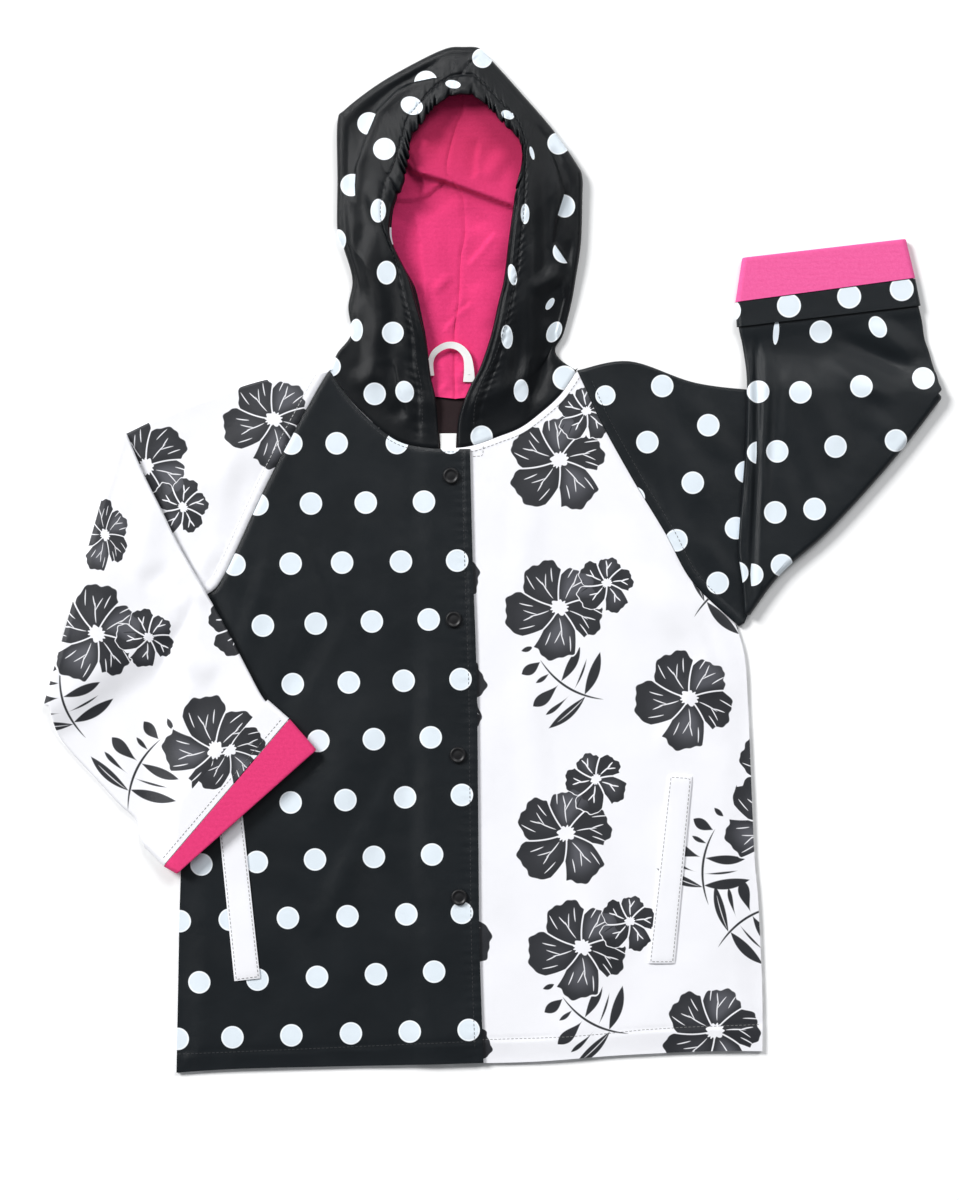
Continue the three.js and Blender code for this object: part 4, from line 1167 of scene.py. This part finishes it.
DOTTED_FORE_CREASES = [
    ((194.8, 176), (195, 70), 2.2, -2.4), ((195, 86), (190.5, -34), 2.2, -2.4),
    ((189, 170), (189, 10), 3.4, 1.6), ((201, 172), (199, 20), 3.4, 1.4), ((212, 150), (206, 60), 4, -0.9),
    ((272, 183), (314, 146), 7, 2.6), ((252, 166), (312, 138), 5, -2.4), ((240, 150), (300, 116), 6, 1.4),
    ((230, 140), (262, 60), 8, 0.9), ((290, 120), (240, 50), 8, -0.8), ((215, 100), (236, 20), 6, -0.7),
    ((196, 120), (192, 20), 5, 0.8), ((270, 110), (300, 90), 6, 0.8),
]


CUFF_DOTS = dots((218.3, 187.6), (262.7, 194.3), (301.5, 199.8), (174, 184), radius=8.8)
CUFF_FLOWERS = {**NO_PRINT, "flowers": [(-194.3, -140, 31, 60)]}


def sleeve(side, form, material, upper_print, under_print, fore_print):
    """One sleeve. Its stretch before the fold and its faces below have their own lays of the print."""
    upper, fold = form.upper(), form.fold()
    first_fore = (len(upper) + len(fold) // 2) * len(fold[0])

    def paint(layers, points, faces):
        before = faces.min(axis=1) < first_fore
        low = facing_down(points, faces)
        if side == "dotted":
            add_beyond(layers, points, faces, FOREARM_SEAM[::-1], STRIP_DOTS)
            layers["side"][before | low] = 1
        repaint(layers, points, faces, low, under_print)
        repaint(layers, points, faces, before & ~low, upper_print)

    rings = [*upper, *fold, *form.forearm()]
    return tube(f"sleeve_{side}", rings, material, fore_print, paint)


def cuff(form, side, material, prints, pink_cloth):
    """The turned-back end of a sleeve: its hem band, and the lining that shows past it."""
    free, seam, end = (form.cut[name] for name in ("free", "seam", "end"))
    band = [form.cuff_ring(between(free, seam, share)) for share in np.linspace(0, 0.98, 12)]
    lining = [form.cuff_ring(between(seam, end, share)) for share in np.linspace(0.01, 0.97, 14)]
    rolled = [form.cuff_ring(end, inset) for inset in (0.35, 1.1, 1.5)]
    facing = tube(f"cuff_{side}_facing", band, material, prints)
    pink = tube(f"cuff_{side}_lining", [*lining, *rolled], pink_cloth, {})
    return facing, pink


floral_form = Sleeve(SLEEVE_FLORAL, RAGLAN_LEFT, FLORAL_FORE_CREASES, -1)
dotted_form = Sleeve(SLEEVE_DOTTED, RAGLAN_RIGHT, DOTTED_FORE_CREASES, 1)
floral_sleeve = sleeve("floral", floral_form, FLORAL, FLORAL_UPPER_PRINT, FLORAL_UNDER, FLORAL_FORE_PRINT)
dotted_sleeve = sleeve(
    "dotted", dotted_form, DOTTED,
    {"dots": DOTTED_UPPER_DOTS}, {"dots": DOTTED_UPPER_DOTS}, {"dots": DOTTED_FORE_DOTS},
)
floral_band, floral_pink = cuff(floral_form, "floral", FLORAL, CUFF_FLOWERS, PINK)
dotted_band, dotted_pink = cuff(dotted_form, "dotted", DOTTED, {"dots": CUFF_DOTS}, PINK_PAINTED_LIGHT)


# Hood
HOOD_ROWS = shares(280)
TOP_COLUMNS = shares(52)
UNDER_COLUMNS = shares(8)
RIM_TURNS = np.radians(np.linspace(-100, 70, 7))
EDGE_TURNS = shares(10)[1:-1] * math.pi
CASING = 14.5
FACING_OUT = 6.5
FACING_REACH = 0.2
# Columns of HOOD_HEIGHTS
RIM, EDGE, SWELL = 1, 2, 3

# Folded edges that lie over the cloth beside them: plan line, drop to its left, and how far each end fades
TUCKS = {
    "left": [
        ([(-101, 262), (-101.5, 276), (-100.6, 289), (-92.5, 313), (-85, 331), (-70, 346), (-57, 352),
          (-44, 354.5), (-36, 354)], 2.2, 14),
        ([(-63, 104), (-66.6, 118), (-70, 131), (-74, 150)], 1.0, 9),
    ],
    "right": [
        ([(27, 152), (26, 130), (29, 112)], 1.0, 9),
        ([(40, 304), (46, 291), (52, 269), (46, 250), (44, 234), (56, 217), (61, 208)], 1.9, 9),
        ([(50, 150), (47, 168), (53, 192), (50, 208)], 1.2, 8),
    ],
}
CROWN_SEAM = [(-2, 379), (-9, 373), (-17, 366), (-25, 356), (-28, 346)]
# Lines where a fold cuts the print, run on past the folds to where no dot lies
DOTS_CUT = {
    "left": [(-160, 254), (-101, 262), *TUCKS["left"][0][0][1:], (-20, 356), (-20, 420)],
    "right": [(90, 306), (46, 296), *TUCKS["right"][1][0][1:], (90, 200)],
}
HOOD_CREASES = {
    "left": [
        ((-100, 262), (-84, 150), 7, 2.2), ((-92, 300), (-96, 220), 5, -1.4),
        ((-110, 240), (-98, 160), 5, 1.3), ((-84, 186), (-92, 110), 6, 1.4), ((-60, 150), (-62, 96), 4, 0.8),
        ((-97, 250), (-104, 180), 4, -1.4), ((-80, 140), (-110, 128), 6, 1.1),
        ((-86, 330), (-60, 350), 6, 0.9), ((-104, 300), (-112, 250), 4, 0.9),
        ((-50, 130), (-78, 98), 5, -0.9), ((-76, 225), (-70, 150), 5, -1.1),
        ((-108, 270), (-96, 200), 4, 1.2),
    ],
    "right": [
        ((44, 300), (58, 215), 6, 1.5), ((36, 290), (40, 190), 5, -1.5), ((50, 214), (28, 196), 5, 2.2),
        ((30, 240), (24, 150), 5, 1.4), ((24, 200), (12, 120), 5, -1.0), ((36, 186), (18, 104), 5, 1.6),
        ((46, 170), (30, 112), 4, -1.4), ((14, 160), (4, 110), 4, 0.9), ((2, 366), (40, 320), 6, 1.0),
        ((-8, 376), (-18, 366), 2.2, 0.9), ((30, 330), (52, 290), 5, -1.0), ((60, 250), (54, 200), 4, -0.8),
        ((28, 122), (24, 100), 3, 1.2), ((40, 180), (44, 150), 4, 1.2),
    ],
}
# Dots of each hood half: x, y, radius, turn, squeeze. The outer ones lie beyond the fold that cuts the print.
HOOD_DOTS = {
    "left": [
        (-80, 302, 8.2, 0), (-59.8, 334, 8.4, 65, 0.78), (-84.4, 256.4, 8.6, 0, 0.66),
        (-78.4, 211.2, 8.6, 0, 0.82), (-73.8, 167.3, 8, 0), (-87.4, 122.6, 8.2, 0),
        (-65.2, 124, 8, 15, 0.85), (-101, 169.7, 8.2, 0, 0.6),
        (-115, 235.8, 8.2, 0, 0.8), (-120, 143, 7.5, 0), (-29.5, 349.8, 5.6, 80, 0.55),
    ],
    "left_outer": [
        (-91.6, 321.6, 8.4, 0), (-49.6, 352.2, 8.4, 0), (-104.3, 276.2, 8.2, 0), (-126, 300, 8.2, 0),
    ],
    "right": [
        (-8, 369.9, 7.4, 0), (10.7, 327.1, 4.9, 70, 0.65), (52.5, 227.1, 8.5, 0), (23.5, 254, 7.4, 0, 0.42),
        (14.2, 209.5, 7.8, 10, 0.40), (10.2, 164.1, 8.6, 4, 0.5), (45.1, 168.3, 8.2, -28, 0.62),
        (20.7, 124.9, 8.2, 0, 0.66), (-8.4, 91, 8.2, 0), (53, 134.5, 9, 0), (28.6, 299.1, 5, 14, 0.3),
        (42, 188.7, 5, -34, 0.45), (48.3, 307.1, 8.2, 0),
    ],
    "right_outer": [(48.3, 307.1, 8.2, 0), (52.5, 260.7, 8.4, 0, 0.95), (53, 134.5, 9, 0)],
    "facing": [(-75.5, 238, 6.5, 0, 0.7)],
}


def hood_height(share, column):
    stops, heights = HOOD_HEIGHTS[:, 0], HOOD_HEIGHTS[:, column]
    place = np.clip(np.searchsorted(stops, share), 1, len(stops) - 1)
    way = (share - stops[place - 1]) / (stops[place] - stops[place - 1])
    return mix(heights[place - 1], heights[place], smooth(way))


def gather(share):
    """Puffs between the tight valleys of the gathers, uneven in size: -1 to 1."""
    place = np.clip((share - GATHERS["from"]) / (1 - GATHERS["from"]), 0, 1)
    phase = place * GATHERS["per_side"] + 0.45 * np.sin(place * 17) + 0.25 * np.sin(place * 41)
    puff = np.sqrt(np.abs(np.sin(math.pi * phase))) * 1.8 - 1
    return puff * (1 + 0.3 * np.sin(2.4 * phase + 1)) * smooth(place * 6)


def seam_line(rows, stops, start, end):
    """Points between two shares of a neckline, a seam's gap to its left."""
    dense = spline(rows, shares(200))
    dense += normals_of(dense) * SEAM
    return columns_at(mix(start, end, stops) * 200, np.arange(201), dense)


def uneven_patch(starts, ends, first_row, column_shares):
    """Plan points from one edge to the other; the rows near the first one bend as it does."""
    fade = 1 - smooth(HOOD_ROWS / 0.5)[:, None, None]
    bend = first_row - mix(starts[0], ends[0], column_shares[:, None])
    return mix(starts[:, None], ends[:, None], column_shares[None, :, None]) + bend[None] * fade


class HoodHalf:
    """Plan curves and heights of one half of the hood."""

    def __init__(self, side, cut):
        self.side, left = side, side == "left"
        self.lift = dotted_lift if left else front_lift
        self.top_line = seam_line(NECK_DOTTED if left else NECK_FLORAL, TOP_COLUMNS, *cut["span"])
        self.under_line = seam_line(NECK_BACK, UNDER_COLUMNS, 0 if left else 1, 0.5)
        corner = self.top_line[-1]
        self.under_line[0] = corner
        outline = spline([tuple(corner), *cut["outline"], CROWN], HOOD_ROWS)
        self.away = normals_of(outline) * -cut["turn"]
        self.away[-1] = (0, 1)
        self.radius = hood_height(HOOD_ROWS, EDGE) / 2
        self.edge = outline - self.away * self.radius[:, None]
        self.edge[0] = corner
        rim = spline([tuple(self.top_line[0]), *cut["rim"], CROWN_RIM], HOOD_ROWS)
        self.wide = np.maximum(1, np.linalg.norm(self.edge - rim, axis=1))
        self.way = (self.edge - rim) / self.wide[:, None]
        self.casing = rim + self.way * CASING
        self.rim = rim + self.way * (GATHERS["scallop"] * gather(HOOD_ROWS))[:, None]
        self.spine = mix(self.under_line[-1], np.array(CROWN_UNDER, float), HOOD_ROWS[:, None])

    def height(self, u, x, y):
        """Height of the top over the row shares and across u, without the small relief."""
        share = HOOD_ROWS[:, None]
        slope = mix(hood_height(share, RIM), hood_height(share, EDGE), smooth(u))
        arch = slope + hood_height(share, SWELL) * np.sin(math.pi * np.clip(u, 0, 1))
        height = arch + GATHERS["height"] * gather(share) * smooth(1 - u / GATHERS["reach"])
        at_corner = smooth((u - 0.8) / 0.2)
        neck = mix(self.lift(x, y) + WALL, SLEEVE_DEPTH, at_corner)
        return mix(neck, height, smooth(share / 0.12))

    def relief(self, u, x, y):
        share = HOOD_ROWS[:, None]
        from_rim = u * self.wide[:, None]
        casing = 0.7 * np.sin(math.pi * np.clip(from_rim / CASING, 0, 1)) - 0.8 * bell(from_rim - CASING, 1.1)
        pulls = 0.5 * gather(share) * bell(from_rim - CASING * 1.3, CASING * 0.5)
        beads = 0.18 * np.sin(share * 260 + 2 * np.sin(share * 40)) * bell(from_rim - CASING, 5)
        ridge = -1.1 * bell(from_rim - 4.4, 1.3) * (smooth(share * 6) if self.side == "right" else 0.35)
        total = casing + pulls + beads + ridge * (1 - smooth((share - GATHERS["from"]) * 8))
        total = total + creases(HOOD_CREASES[self.side], x, y) + sway(x, y) * 1.2
        for line, drop, fade in TUCKS[self.side]:
            total = total + tuck(line, drop, fade, x, y)
        crown = seam_relief(CROWN_SEAM, x, y) * 0.8
        neck = seam_relief(NECKLINES[0 if self.side == "left" else 1], x, y)
        return (total * smooth(share / 0.06) + crown) * smooth((1 - u) * 9) + neck

    def top(self):
        plan = uneven_patch(self.rim, self.edge, self.top_line, TOP_COLUMNS)
        x, y = plan[..., 0], plan[..., 1]
        u = TOP_COLUMNS[None]
        return plan, self.height(u, x, y) + self.relief(u, x, y)

    def grid(self):
        plan, height = self.top()
        radius = RIM_ROLL * (1.25 if self.side == "right" else 1)
        roll = self.rim[:, None] + self.way[:, None] * (radius * (1 - np.cos(RIM_TURNS)))[None, :, None]
        roll_height = np.maximum(height[:, :1] + radius * (np.sin(RIM_TURNS) - 1)[None], ROLL_LOWEST)
        under = uneven_patch(self.edge, self.spine, self.under_line, UNDER_COLUMNS)
        across = self.radius[:, None] * np.sin(EDGE_TURNS)[None]
        bend = self.edge[:, None] + self.away[:, None] * across[..., None]
        return np.concatenate([
            np.dstack([roll, roll_height]), np.dstack([plan[:, 1:], height[:, 1:]]),
            np.dstack([bend, self.radius[:, None] * (1 + np.cos(EDGE_TURNS)[None])]),
            np.dstack([under, np.zeros(under.shape[:2])]),
        ], axis=1)

    def facing(self):
        """The strip behind the face edge; at the left it rolls out past the edge."""
        share = HOOD_ROWS[:, None]
        roll = np.exp(-(((share - 0.46) / 0.13) ** 2)) * (1 if self.side == "left" else 0)
        out = -FACING_OUT * roll / self.wide[:, None]
        inward = np.zeros_like(out) + FACING_REACH * shares(6)[None]
        u = np.concatenate([out * shares(6)[::-1][None, :-1], inward], axis=1)
        plan = self.rim[:, None] + (self.edge - self.rim)[:, None] * u[..., None]
        height = self.height(np.maximum(0, u), plan[..., 0], plan[..., 1]) - WALL - 2 * LAYER_GAP
        sag = smooth(np.clip(u / np.minimum(out, -1e-6), 0, 1)) * (u < 0)
        return np.dstack([plan, height - 2.6 * roll * sag - 0.3])


def hood():
    halves = {}
    for side, cut in (("left", HOOD_LEFT), ("right", HOOD_RIGHT)):
        half = HoodHalf(side, cut)
        grid = half.grid()
        faces = grid_faces(*grid.shape[:2])
        points = grid.reshape(-1, 3)
        if facing_down(points, faces[grid.shape[1] // 4:][:1])[0]:
            faces = faces[:, ::-1]
        layers = plan_layers(points, faces, {"dots": HOOD_DOTS[side]})
        add_beyond(layers, points, faces, DOTS_CUT[side], HOOD_DOTS[f"{side}_outer"])
        name = f"hood_{side}"
        piece = add_mesh(name, points, faces, DOTTED_HOOD_PAINTED_SHADE, layers, SHARP["hood"])
        halves[side] = (half, piece)
    skip = len(HOOD_ROWS) // 26
    strip = np.vstack([halves["left"][0].facing()[skip:], halves["right"][0].facing()[skip:-1][::-1]])
    prints = {"dots": HOOD_DOTS["facing"]}
    facing = shell("hood_facing", strip, SHELL["facing"], DOTTED_HOOD_PAINTED_SHADE, prints)
    return halves


HOOD = hood()

# Lining: its seam shifts sideways where it passes under the fold
LINING_SEAM = [
    (-28, 119), (-28.4, 167), (-25.5, 189), (-23.7, 224), (-20.7, 241), (-22.4, 268), (-33, 283),
    (-34, 292), (-31.5, 305), (-27.4, 320), (-23, 332), (-23, 348),
]
LINING_FOLD = [(-90, 316), (-65, 296), (-57.7, 287), (-37, 281.2), (-17, 273.8), (14.8, 262), (36, 256)]
LINING_LIP = 6.2
LINING_CREASES = [
    ((-44, 332), (-54, 292), 6, 2.2), ((10, 304), (-6, 278), 5, 1.8), ((-52, 210), (-53, 186), 4, 1.4),
    ((-10, 250), (4, 214), 7, 2.0), ((-14, 206), (-2, 170), 6, 1.6), ((-24, 262), (8, 236), 5, -1.2),
    ((-46, 250), (-36, 180), 6, 1.2), ((-40, 150), (-30, 128), 3, 1.4), ((-18, 150), (-28, 128), 3, 1.2),
    ((-37, 131), (-22, 124), 2.4, 1.0), ((-45, 122), (-33, 128), 2.4, 1.0), ((-30, 212), (-46, 196), 3, 1.0),
    ((-20, 196), (-34, 176), 3, 1.0),
]
# Folded edges of the lining: plan line with the lower cloth on its left, drop, fade of its ends and run
LINING_TUCKS = [
    ([(-35, 281.5), (-43, 274), (-51.8, 267.6), (-62, 265.4), (-78, 265)], 3.0, 7, 22),
    ([(-53, 266), (-51.8, 279), (-56.5, 290), (-62.5, 303)], 1.6, 6, 12),
    ([(-12.6, 279), (-12, 292), (-9.5, 312)], 1.4, 7, 12),
    ([(-50, 188), (-51.8, 215), (-53.3, 233), (-59, 263)], 1.5, 9, 16),
    ([(-20, 216), (-9, 229), (3, 244)], 1.1, 8, 14), ([(-38, 168), (-26, 182), (-14, 192)], 0.8, 7, 10),
]


def lining_lift(x, y):
    signed, _ = beside(LINING_FOLD, x, y)
    lip = np.where(signed < 0, smooth(1 + signed / 36), smooth(1 - signed / 3.2))
    seam = -0.8 * bell(beside(LINING_SEAM, x, y)[0], 1.2)
    over_label = 1.4 * smooth((126 - y) / 7)
    folds = creases(LINING_CREASES, x, y) + sum(tuck(*row[:3], x, y, row[3]) for row in LINING_TUCKS)
    relief = np.maximum(folds, -1.2) + seam + 0.8 * sway(x, y)
    return SEAM_LIFT + LINING_LIP * lip + relief + 0.3 + over_label


def hood_lining():
    for side, cut in (("left", HOOD_LEFT), ("right", HOOD_RIGHT)):
        rows, columns = (shares(steps_along(length, LINING_STEP)) for length in LINING_SIZE)
        seam = spline(LINING_SEAM, rows)
        edge = spline(cut["lining"], rows)
        plan = mix(edge[:, None], seam[:, None], columns[None, :, None])
        top = height_over(plan, lambda x, y: lining_lift(x, y) + WALL)
        if cut["turn"] > 0:
            top = top[:, ::-1]
        name = f"hood_lining_{side}"
        piece = shell(name, top, SHELL["lining"], PINK, {})


hood_lining()


# Trim
TRIM = 1.0
WELT_GRID = (70, 14)
LABEL_GRID = (16, 20)
CAP_SIDES = 40
# Corners in plan, from the top left and top right to the lower two
WELTS = {
    "welt_left": ((-205, -172), (-187, -170), (-191, -311), (-172, -309)),
    "welt_right": ((130, -159), (147, -160), (115, -298), (134, -298)),
}
LABELS = {
    "neck_label": ((-47, 121), (-19, 121), (-47, 81), (-20, 81)),
    "size_label": ((-39.5, 93.5), (-27, 93.5), (-38.7, 80.5), (-27.6, 80.5)),
}
SIZE_LABEL_LIFT = 0.7
# A snap cap's profile: radius and height, from the middle out
SNAPS = [(-31, 62), (-29, -44), (-26, -144), (-25, -249)]
SNAP_PROFILE = [
    (0, 1.5), (1.5, 1.45), (2.6, 1.25), (3.3, 1.15), (3.9, 1.35), (4.5, 1.9), (5.0, 2.05), (5.5, 1.85),
    (5.9, 1.3), (6.0, 0.6), (5.9, 0.0),
]
HANG_LOOP = [
    (-45.5, 136), (-46, 146), (-42.5, 153.5), (-34, 158.3), (-25.5, 157), (-19.5, 150.5), (-17.8, 141),
    (-17.8, 131.5),
]
# The loop's tape at shares of its length: its width in plan, and its twist
LOOP_WIDTHS = [(0, 4.2), (0.2, 4.0), (0.45, 4.7), (0.7, 5.8), (1, 8.6)]
LOOP_TWIST = [(0, 1.6), (0.15, 1.8), (0.5, 0.6), (0.8, 0.2), (1, 0)]
LOOP_REST = SEAM_LIFT + WALL + LAYER_GAP + TRIM


def four_sided(corners, rows, columns):
    top_left, top_right, low_left, low_right = (np.array(corner, float) for corner in corners)
    u, v = shares(columns)[None, :, None], shares(rows)[:, None, None]
    return mix(mix(low_left, low_right, u), mix(top_left, top_right, u), v)


def edge_relief(rows, columns, dip):
    """Cloth pressed down towards its four edges."""
    u, v = shares(columns)[None], shares(rows)[:, None]
    return -dip * (np.abs(2 * u - 1) ** 6 + np.abs(2 * v - 1) ** 30)


def inset_line(corners, inset):
    """A closed plan line a little inside four corners."""
    top_left, top_right, low_left, low_right = (np.array(corner, float) for corner in corners)
    middle = (top_left + top_right + low_left + low_right) / 4
    ring = np.array([top_left, top_right, low_right, low_left, top_left])
    way = np.sign(middle - ring)
    return ring + way * inset


def welts():
    fronts = [("front_dotted", dotted_lift, dotted_relief), ("front_floral", front_lift, floral_relief)]
    made = []
    for (name, corners), (front, lift, relief) in zip(WELTS.items(), fronts):
        grid = height_over(
            four_sided(corners, *WELT_GRID), lambda x, y: lift(x, y) + SEAM_LIFT + TRIM + 0.5 * relief(x, y),
        )
        grid[..., 2] += edge_relief(*WELT_GRID, 0.45) + 0.2
        piece = shell(name, grid, SHELL["welt"], FLORAL, NO_PRINT)
        made.append(piece)
    return made


def label(name, lift, material):
    grid = height_over(
        four_sided(LABELS[name], *LABEL_GRID), lambda x, y: SEAM_LIFT + TRIM + 0.25 * np.sin(x / 4 + y / 7),
    )
    grid[..., 2] += edge_relief(*LABEL_GRID, 0.25) + lift
    piece = shell(name, grid, SHELL["label"], material, {})


def hang_loop():
    stops = shares(60)
    line = spline(HANG_LOOP, stops)
    width = np.interp(stops, *np.array(LOOP_WIDTHS).T)
    across = np.linspace(-0.5, 0.5, 7)
    plan = line[:, None] + normals_of(line)[:, None] * (width[:, None] * across[None])[..., None]
    twist = np.interp(stops, *np.array(LOOP_TWIST).T)
    rise = twist[:, None] * (across[None] + 0.5) * 1.5 + 2.2 * np.sin(math.pi * stops)[:, None] + 0.6
    grid = np.dstack([plan, LOOP_REST + rise])
    piece = shell("hang_loop", grid[:, ::-1], SHELL["tape"], TAPE, {})
    return piece


def snaps():
    turns = np.arange(CAP_SIDES) * 2 * math.pi / CAP_SIDES
    for i, (x, y) in enumerate(SNAPS):
        base = float(dotted_lift(np.array(x), np.array(y))) + SEAM_LIFT + 0.1
        points = np.array([
            (x + radius * math.cos(turn), y + radius * math.sin(turn), base + rise)
            for radius, rise in SNAP_PROFILE for turn in turns
        ])
        faces = grid_faces(len(SNAP_PROFILE), CAP_SIDES, closed=True)
        if facing_down(points, faces[5 * CAP_SIDES:][:1])[0]:
            faces = faces[:, ::-1]
        add_mesh(f"snap_cap_{i + 1}", points, faces, SNAP, {}, SHARP["cap"])


WELT_LEFT, WELT_RIGHT = welts()
label("neck_label", 0.0, LABEL_DARK_WITH_PAINTED_SHADE)
label("size_label", SIZE_LABEL_LIFT, TAPE)
LOOP = hang_loop()
snaps()


# Topstitching
CASING_ENDS = (0.03, 0.97)
CUFF_STITCH = (0.8, 0.03)
WELT_STITCH = 1.4


def part_of(rows, start, end, moved):
    line = moved_line(rows, moved, 80)
    return line[int(80 * start):int(80 * end) + 1]


def across_cuff(cut, share, back):
    a, b = (np.array(point) for point in between(cut["free"], cut["seam"], share))
    return [mix(a, b, back), mix(a, b, 1 - back)]


def casing_line(half):
    low, high = (int(end * len(HOOD_ROWS)) for end in CASING_ENDS)
    return half.casing[low:high]


def topstitching():
    (left_half, left_hood), (right_half, right_hood) = HOOD["left"], HOOD["right"]
    stitches("black_stitches", [
        (FRONT_DOTTED, HEM_STITCHES[0]), (FRONT_DOTTED, PLACKET_LINE[1:]),
        (FRONT_DOTTED, part_of(NECK_DOTTED, 0.06, 0.97, 2.2)),
        (left_hood, casing_line(left_half)), (right_hood, casing_line(right_half)),
        (left_hood, [(-27.5, 368), (-31, 357)]), (right_hood, [(-17.5, 371), (-20.5, 358)]),
        (dotted_sleeve, part_of(RAGLAN_RIGHT, 0.1, 0.96, RAGLAN_ALLOWANCE)),
    ], BLACK_THREAD)
    stitches("grey_stitches", [
        (FRONT_FLORAL, HEM_STITCHES[1]), (FRONT_FLORAL, NECK_BAND_LINE), (FRONT_FLORAL, UNDERLAP_BOX),
        (WELT_LEFT, inset_line(WELTS["welt_left"], WELT_STITCH)),
        (WELT_RIGHT, inset_line(WELTS["welt_right"], WELT_STITCH)),
        (WELT_RIGHT, [(121, -228.5), (124.6, -225)]), (floral_band, across_cuff(SLEEVE_FLORAL, *CUFF_STITCH)),
    ], GREY_THREAD)
    stitches("white_stitches", [
        (floral_sleeve, part_of(RAGLAN_LEFT, 0.08, 0.97, -RAGLAN_ALLOWANCE)),
        (LOOP, [(-19.5, 137), (-12.5, 137)]),
    ], WHITE_THREAD)


topstitching()


# Floor, lights and camera, in metres. A light is its place, width and power, and shines at the middle.
FLOOR_SIZE = 60
FLOOR_GAP = 0.0003
WORLD = {"colour": (0.93, 0.965, 1.0, 1), "strength": 0.24}
KEY = ((-10.8, 8.6, 9.8), 6.0, 3390)
FILL = ((5.2, 9.2, 9.2), 6.8, 960)


def stage():
    bpy.ops.mesh.primitive_plane_add(size=FLOOR_SIZE, location=(0, 0, -FLOOR_GAP))
    floor = bpy.context.object
    floor.name = "floor"
    material, _, shader = new_material("floor")
    shader.inputs["Base Color"].default_value = (0.93, 0.93, 0.93, 1)
    shader.inputs["Roughness"].default_value = 0.9
    floor.data.materials.append(material)


def area_light(name, place, size, power):
    data = bpy.data.lights.new(name, "AREA")
    data.shape, data.size, data.energy = "DISK", size, power
    light = bpy.data.objects.new(name, data)
    light.location = place
    light.rotation_euler = (-Vector(place)).to_track_quat("-Z", "Y").to_euler()
    bpy.context.scene.collection.objects.link(light)


def lights():
    world = bpy.data.worlds.new("studio")
    world.use_nodes = True
    background = world.node_tree.nodes["Background"]
    background.inputs["Color"].default_value = WORLD["colour"]
    background.inputs["Strength"].default_value = WORLD["strength"]
    bpy.context.scene.world = world
    area_light("key", *KEY)
    area_light("fill", *FILL)


# The photograph's frame: 959 by 1200 at 0.74 mm to a pixel, seen from straight above
FRAME_WIDTH, FRAME_HEIGHT = 959, 1200
PIXEL = 0.74
FRAME_CENTRE = ((FRAME_WIDTH / 2 - 493) * PIXEL, (560 - FRAME_HEIGHT / 2) * PIXEL)
CAMERA_HEIGHT = 2.4
SENSOR = 36


def camera():
    data = bpy.data.cameras.new("camera")
    data.sensor_width = SENSOR
    data.lens = SENSOR * CAMERA_HEIGHT / (FRAME_HEIGHT * PIXEL * MM)
    view = bpy.data.objects.new("camera", data)
    view.location = (FRAME_CENTRE[0] * MM, FRAME_CENTRE[1] * MM, CAMERA_HEIGHT)
    bpy.context.scene.collection.objects.link(view)
    bpy.context.scene.camera = view


stage()
lights()
camera()
bpy.context.scene.view_settings.view_transform = "Standard"
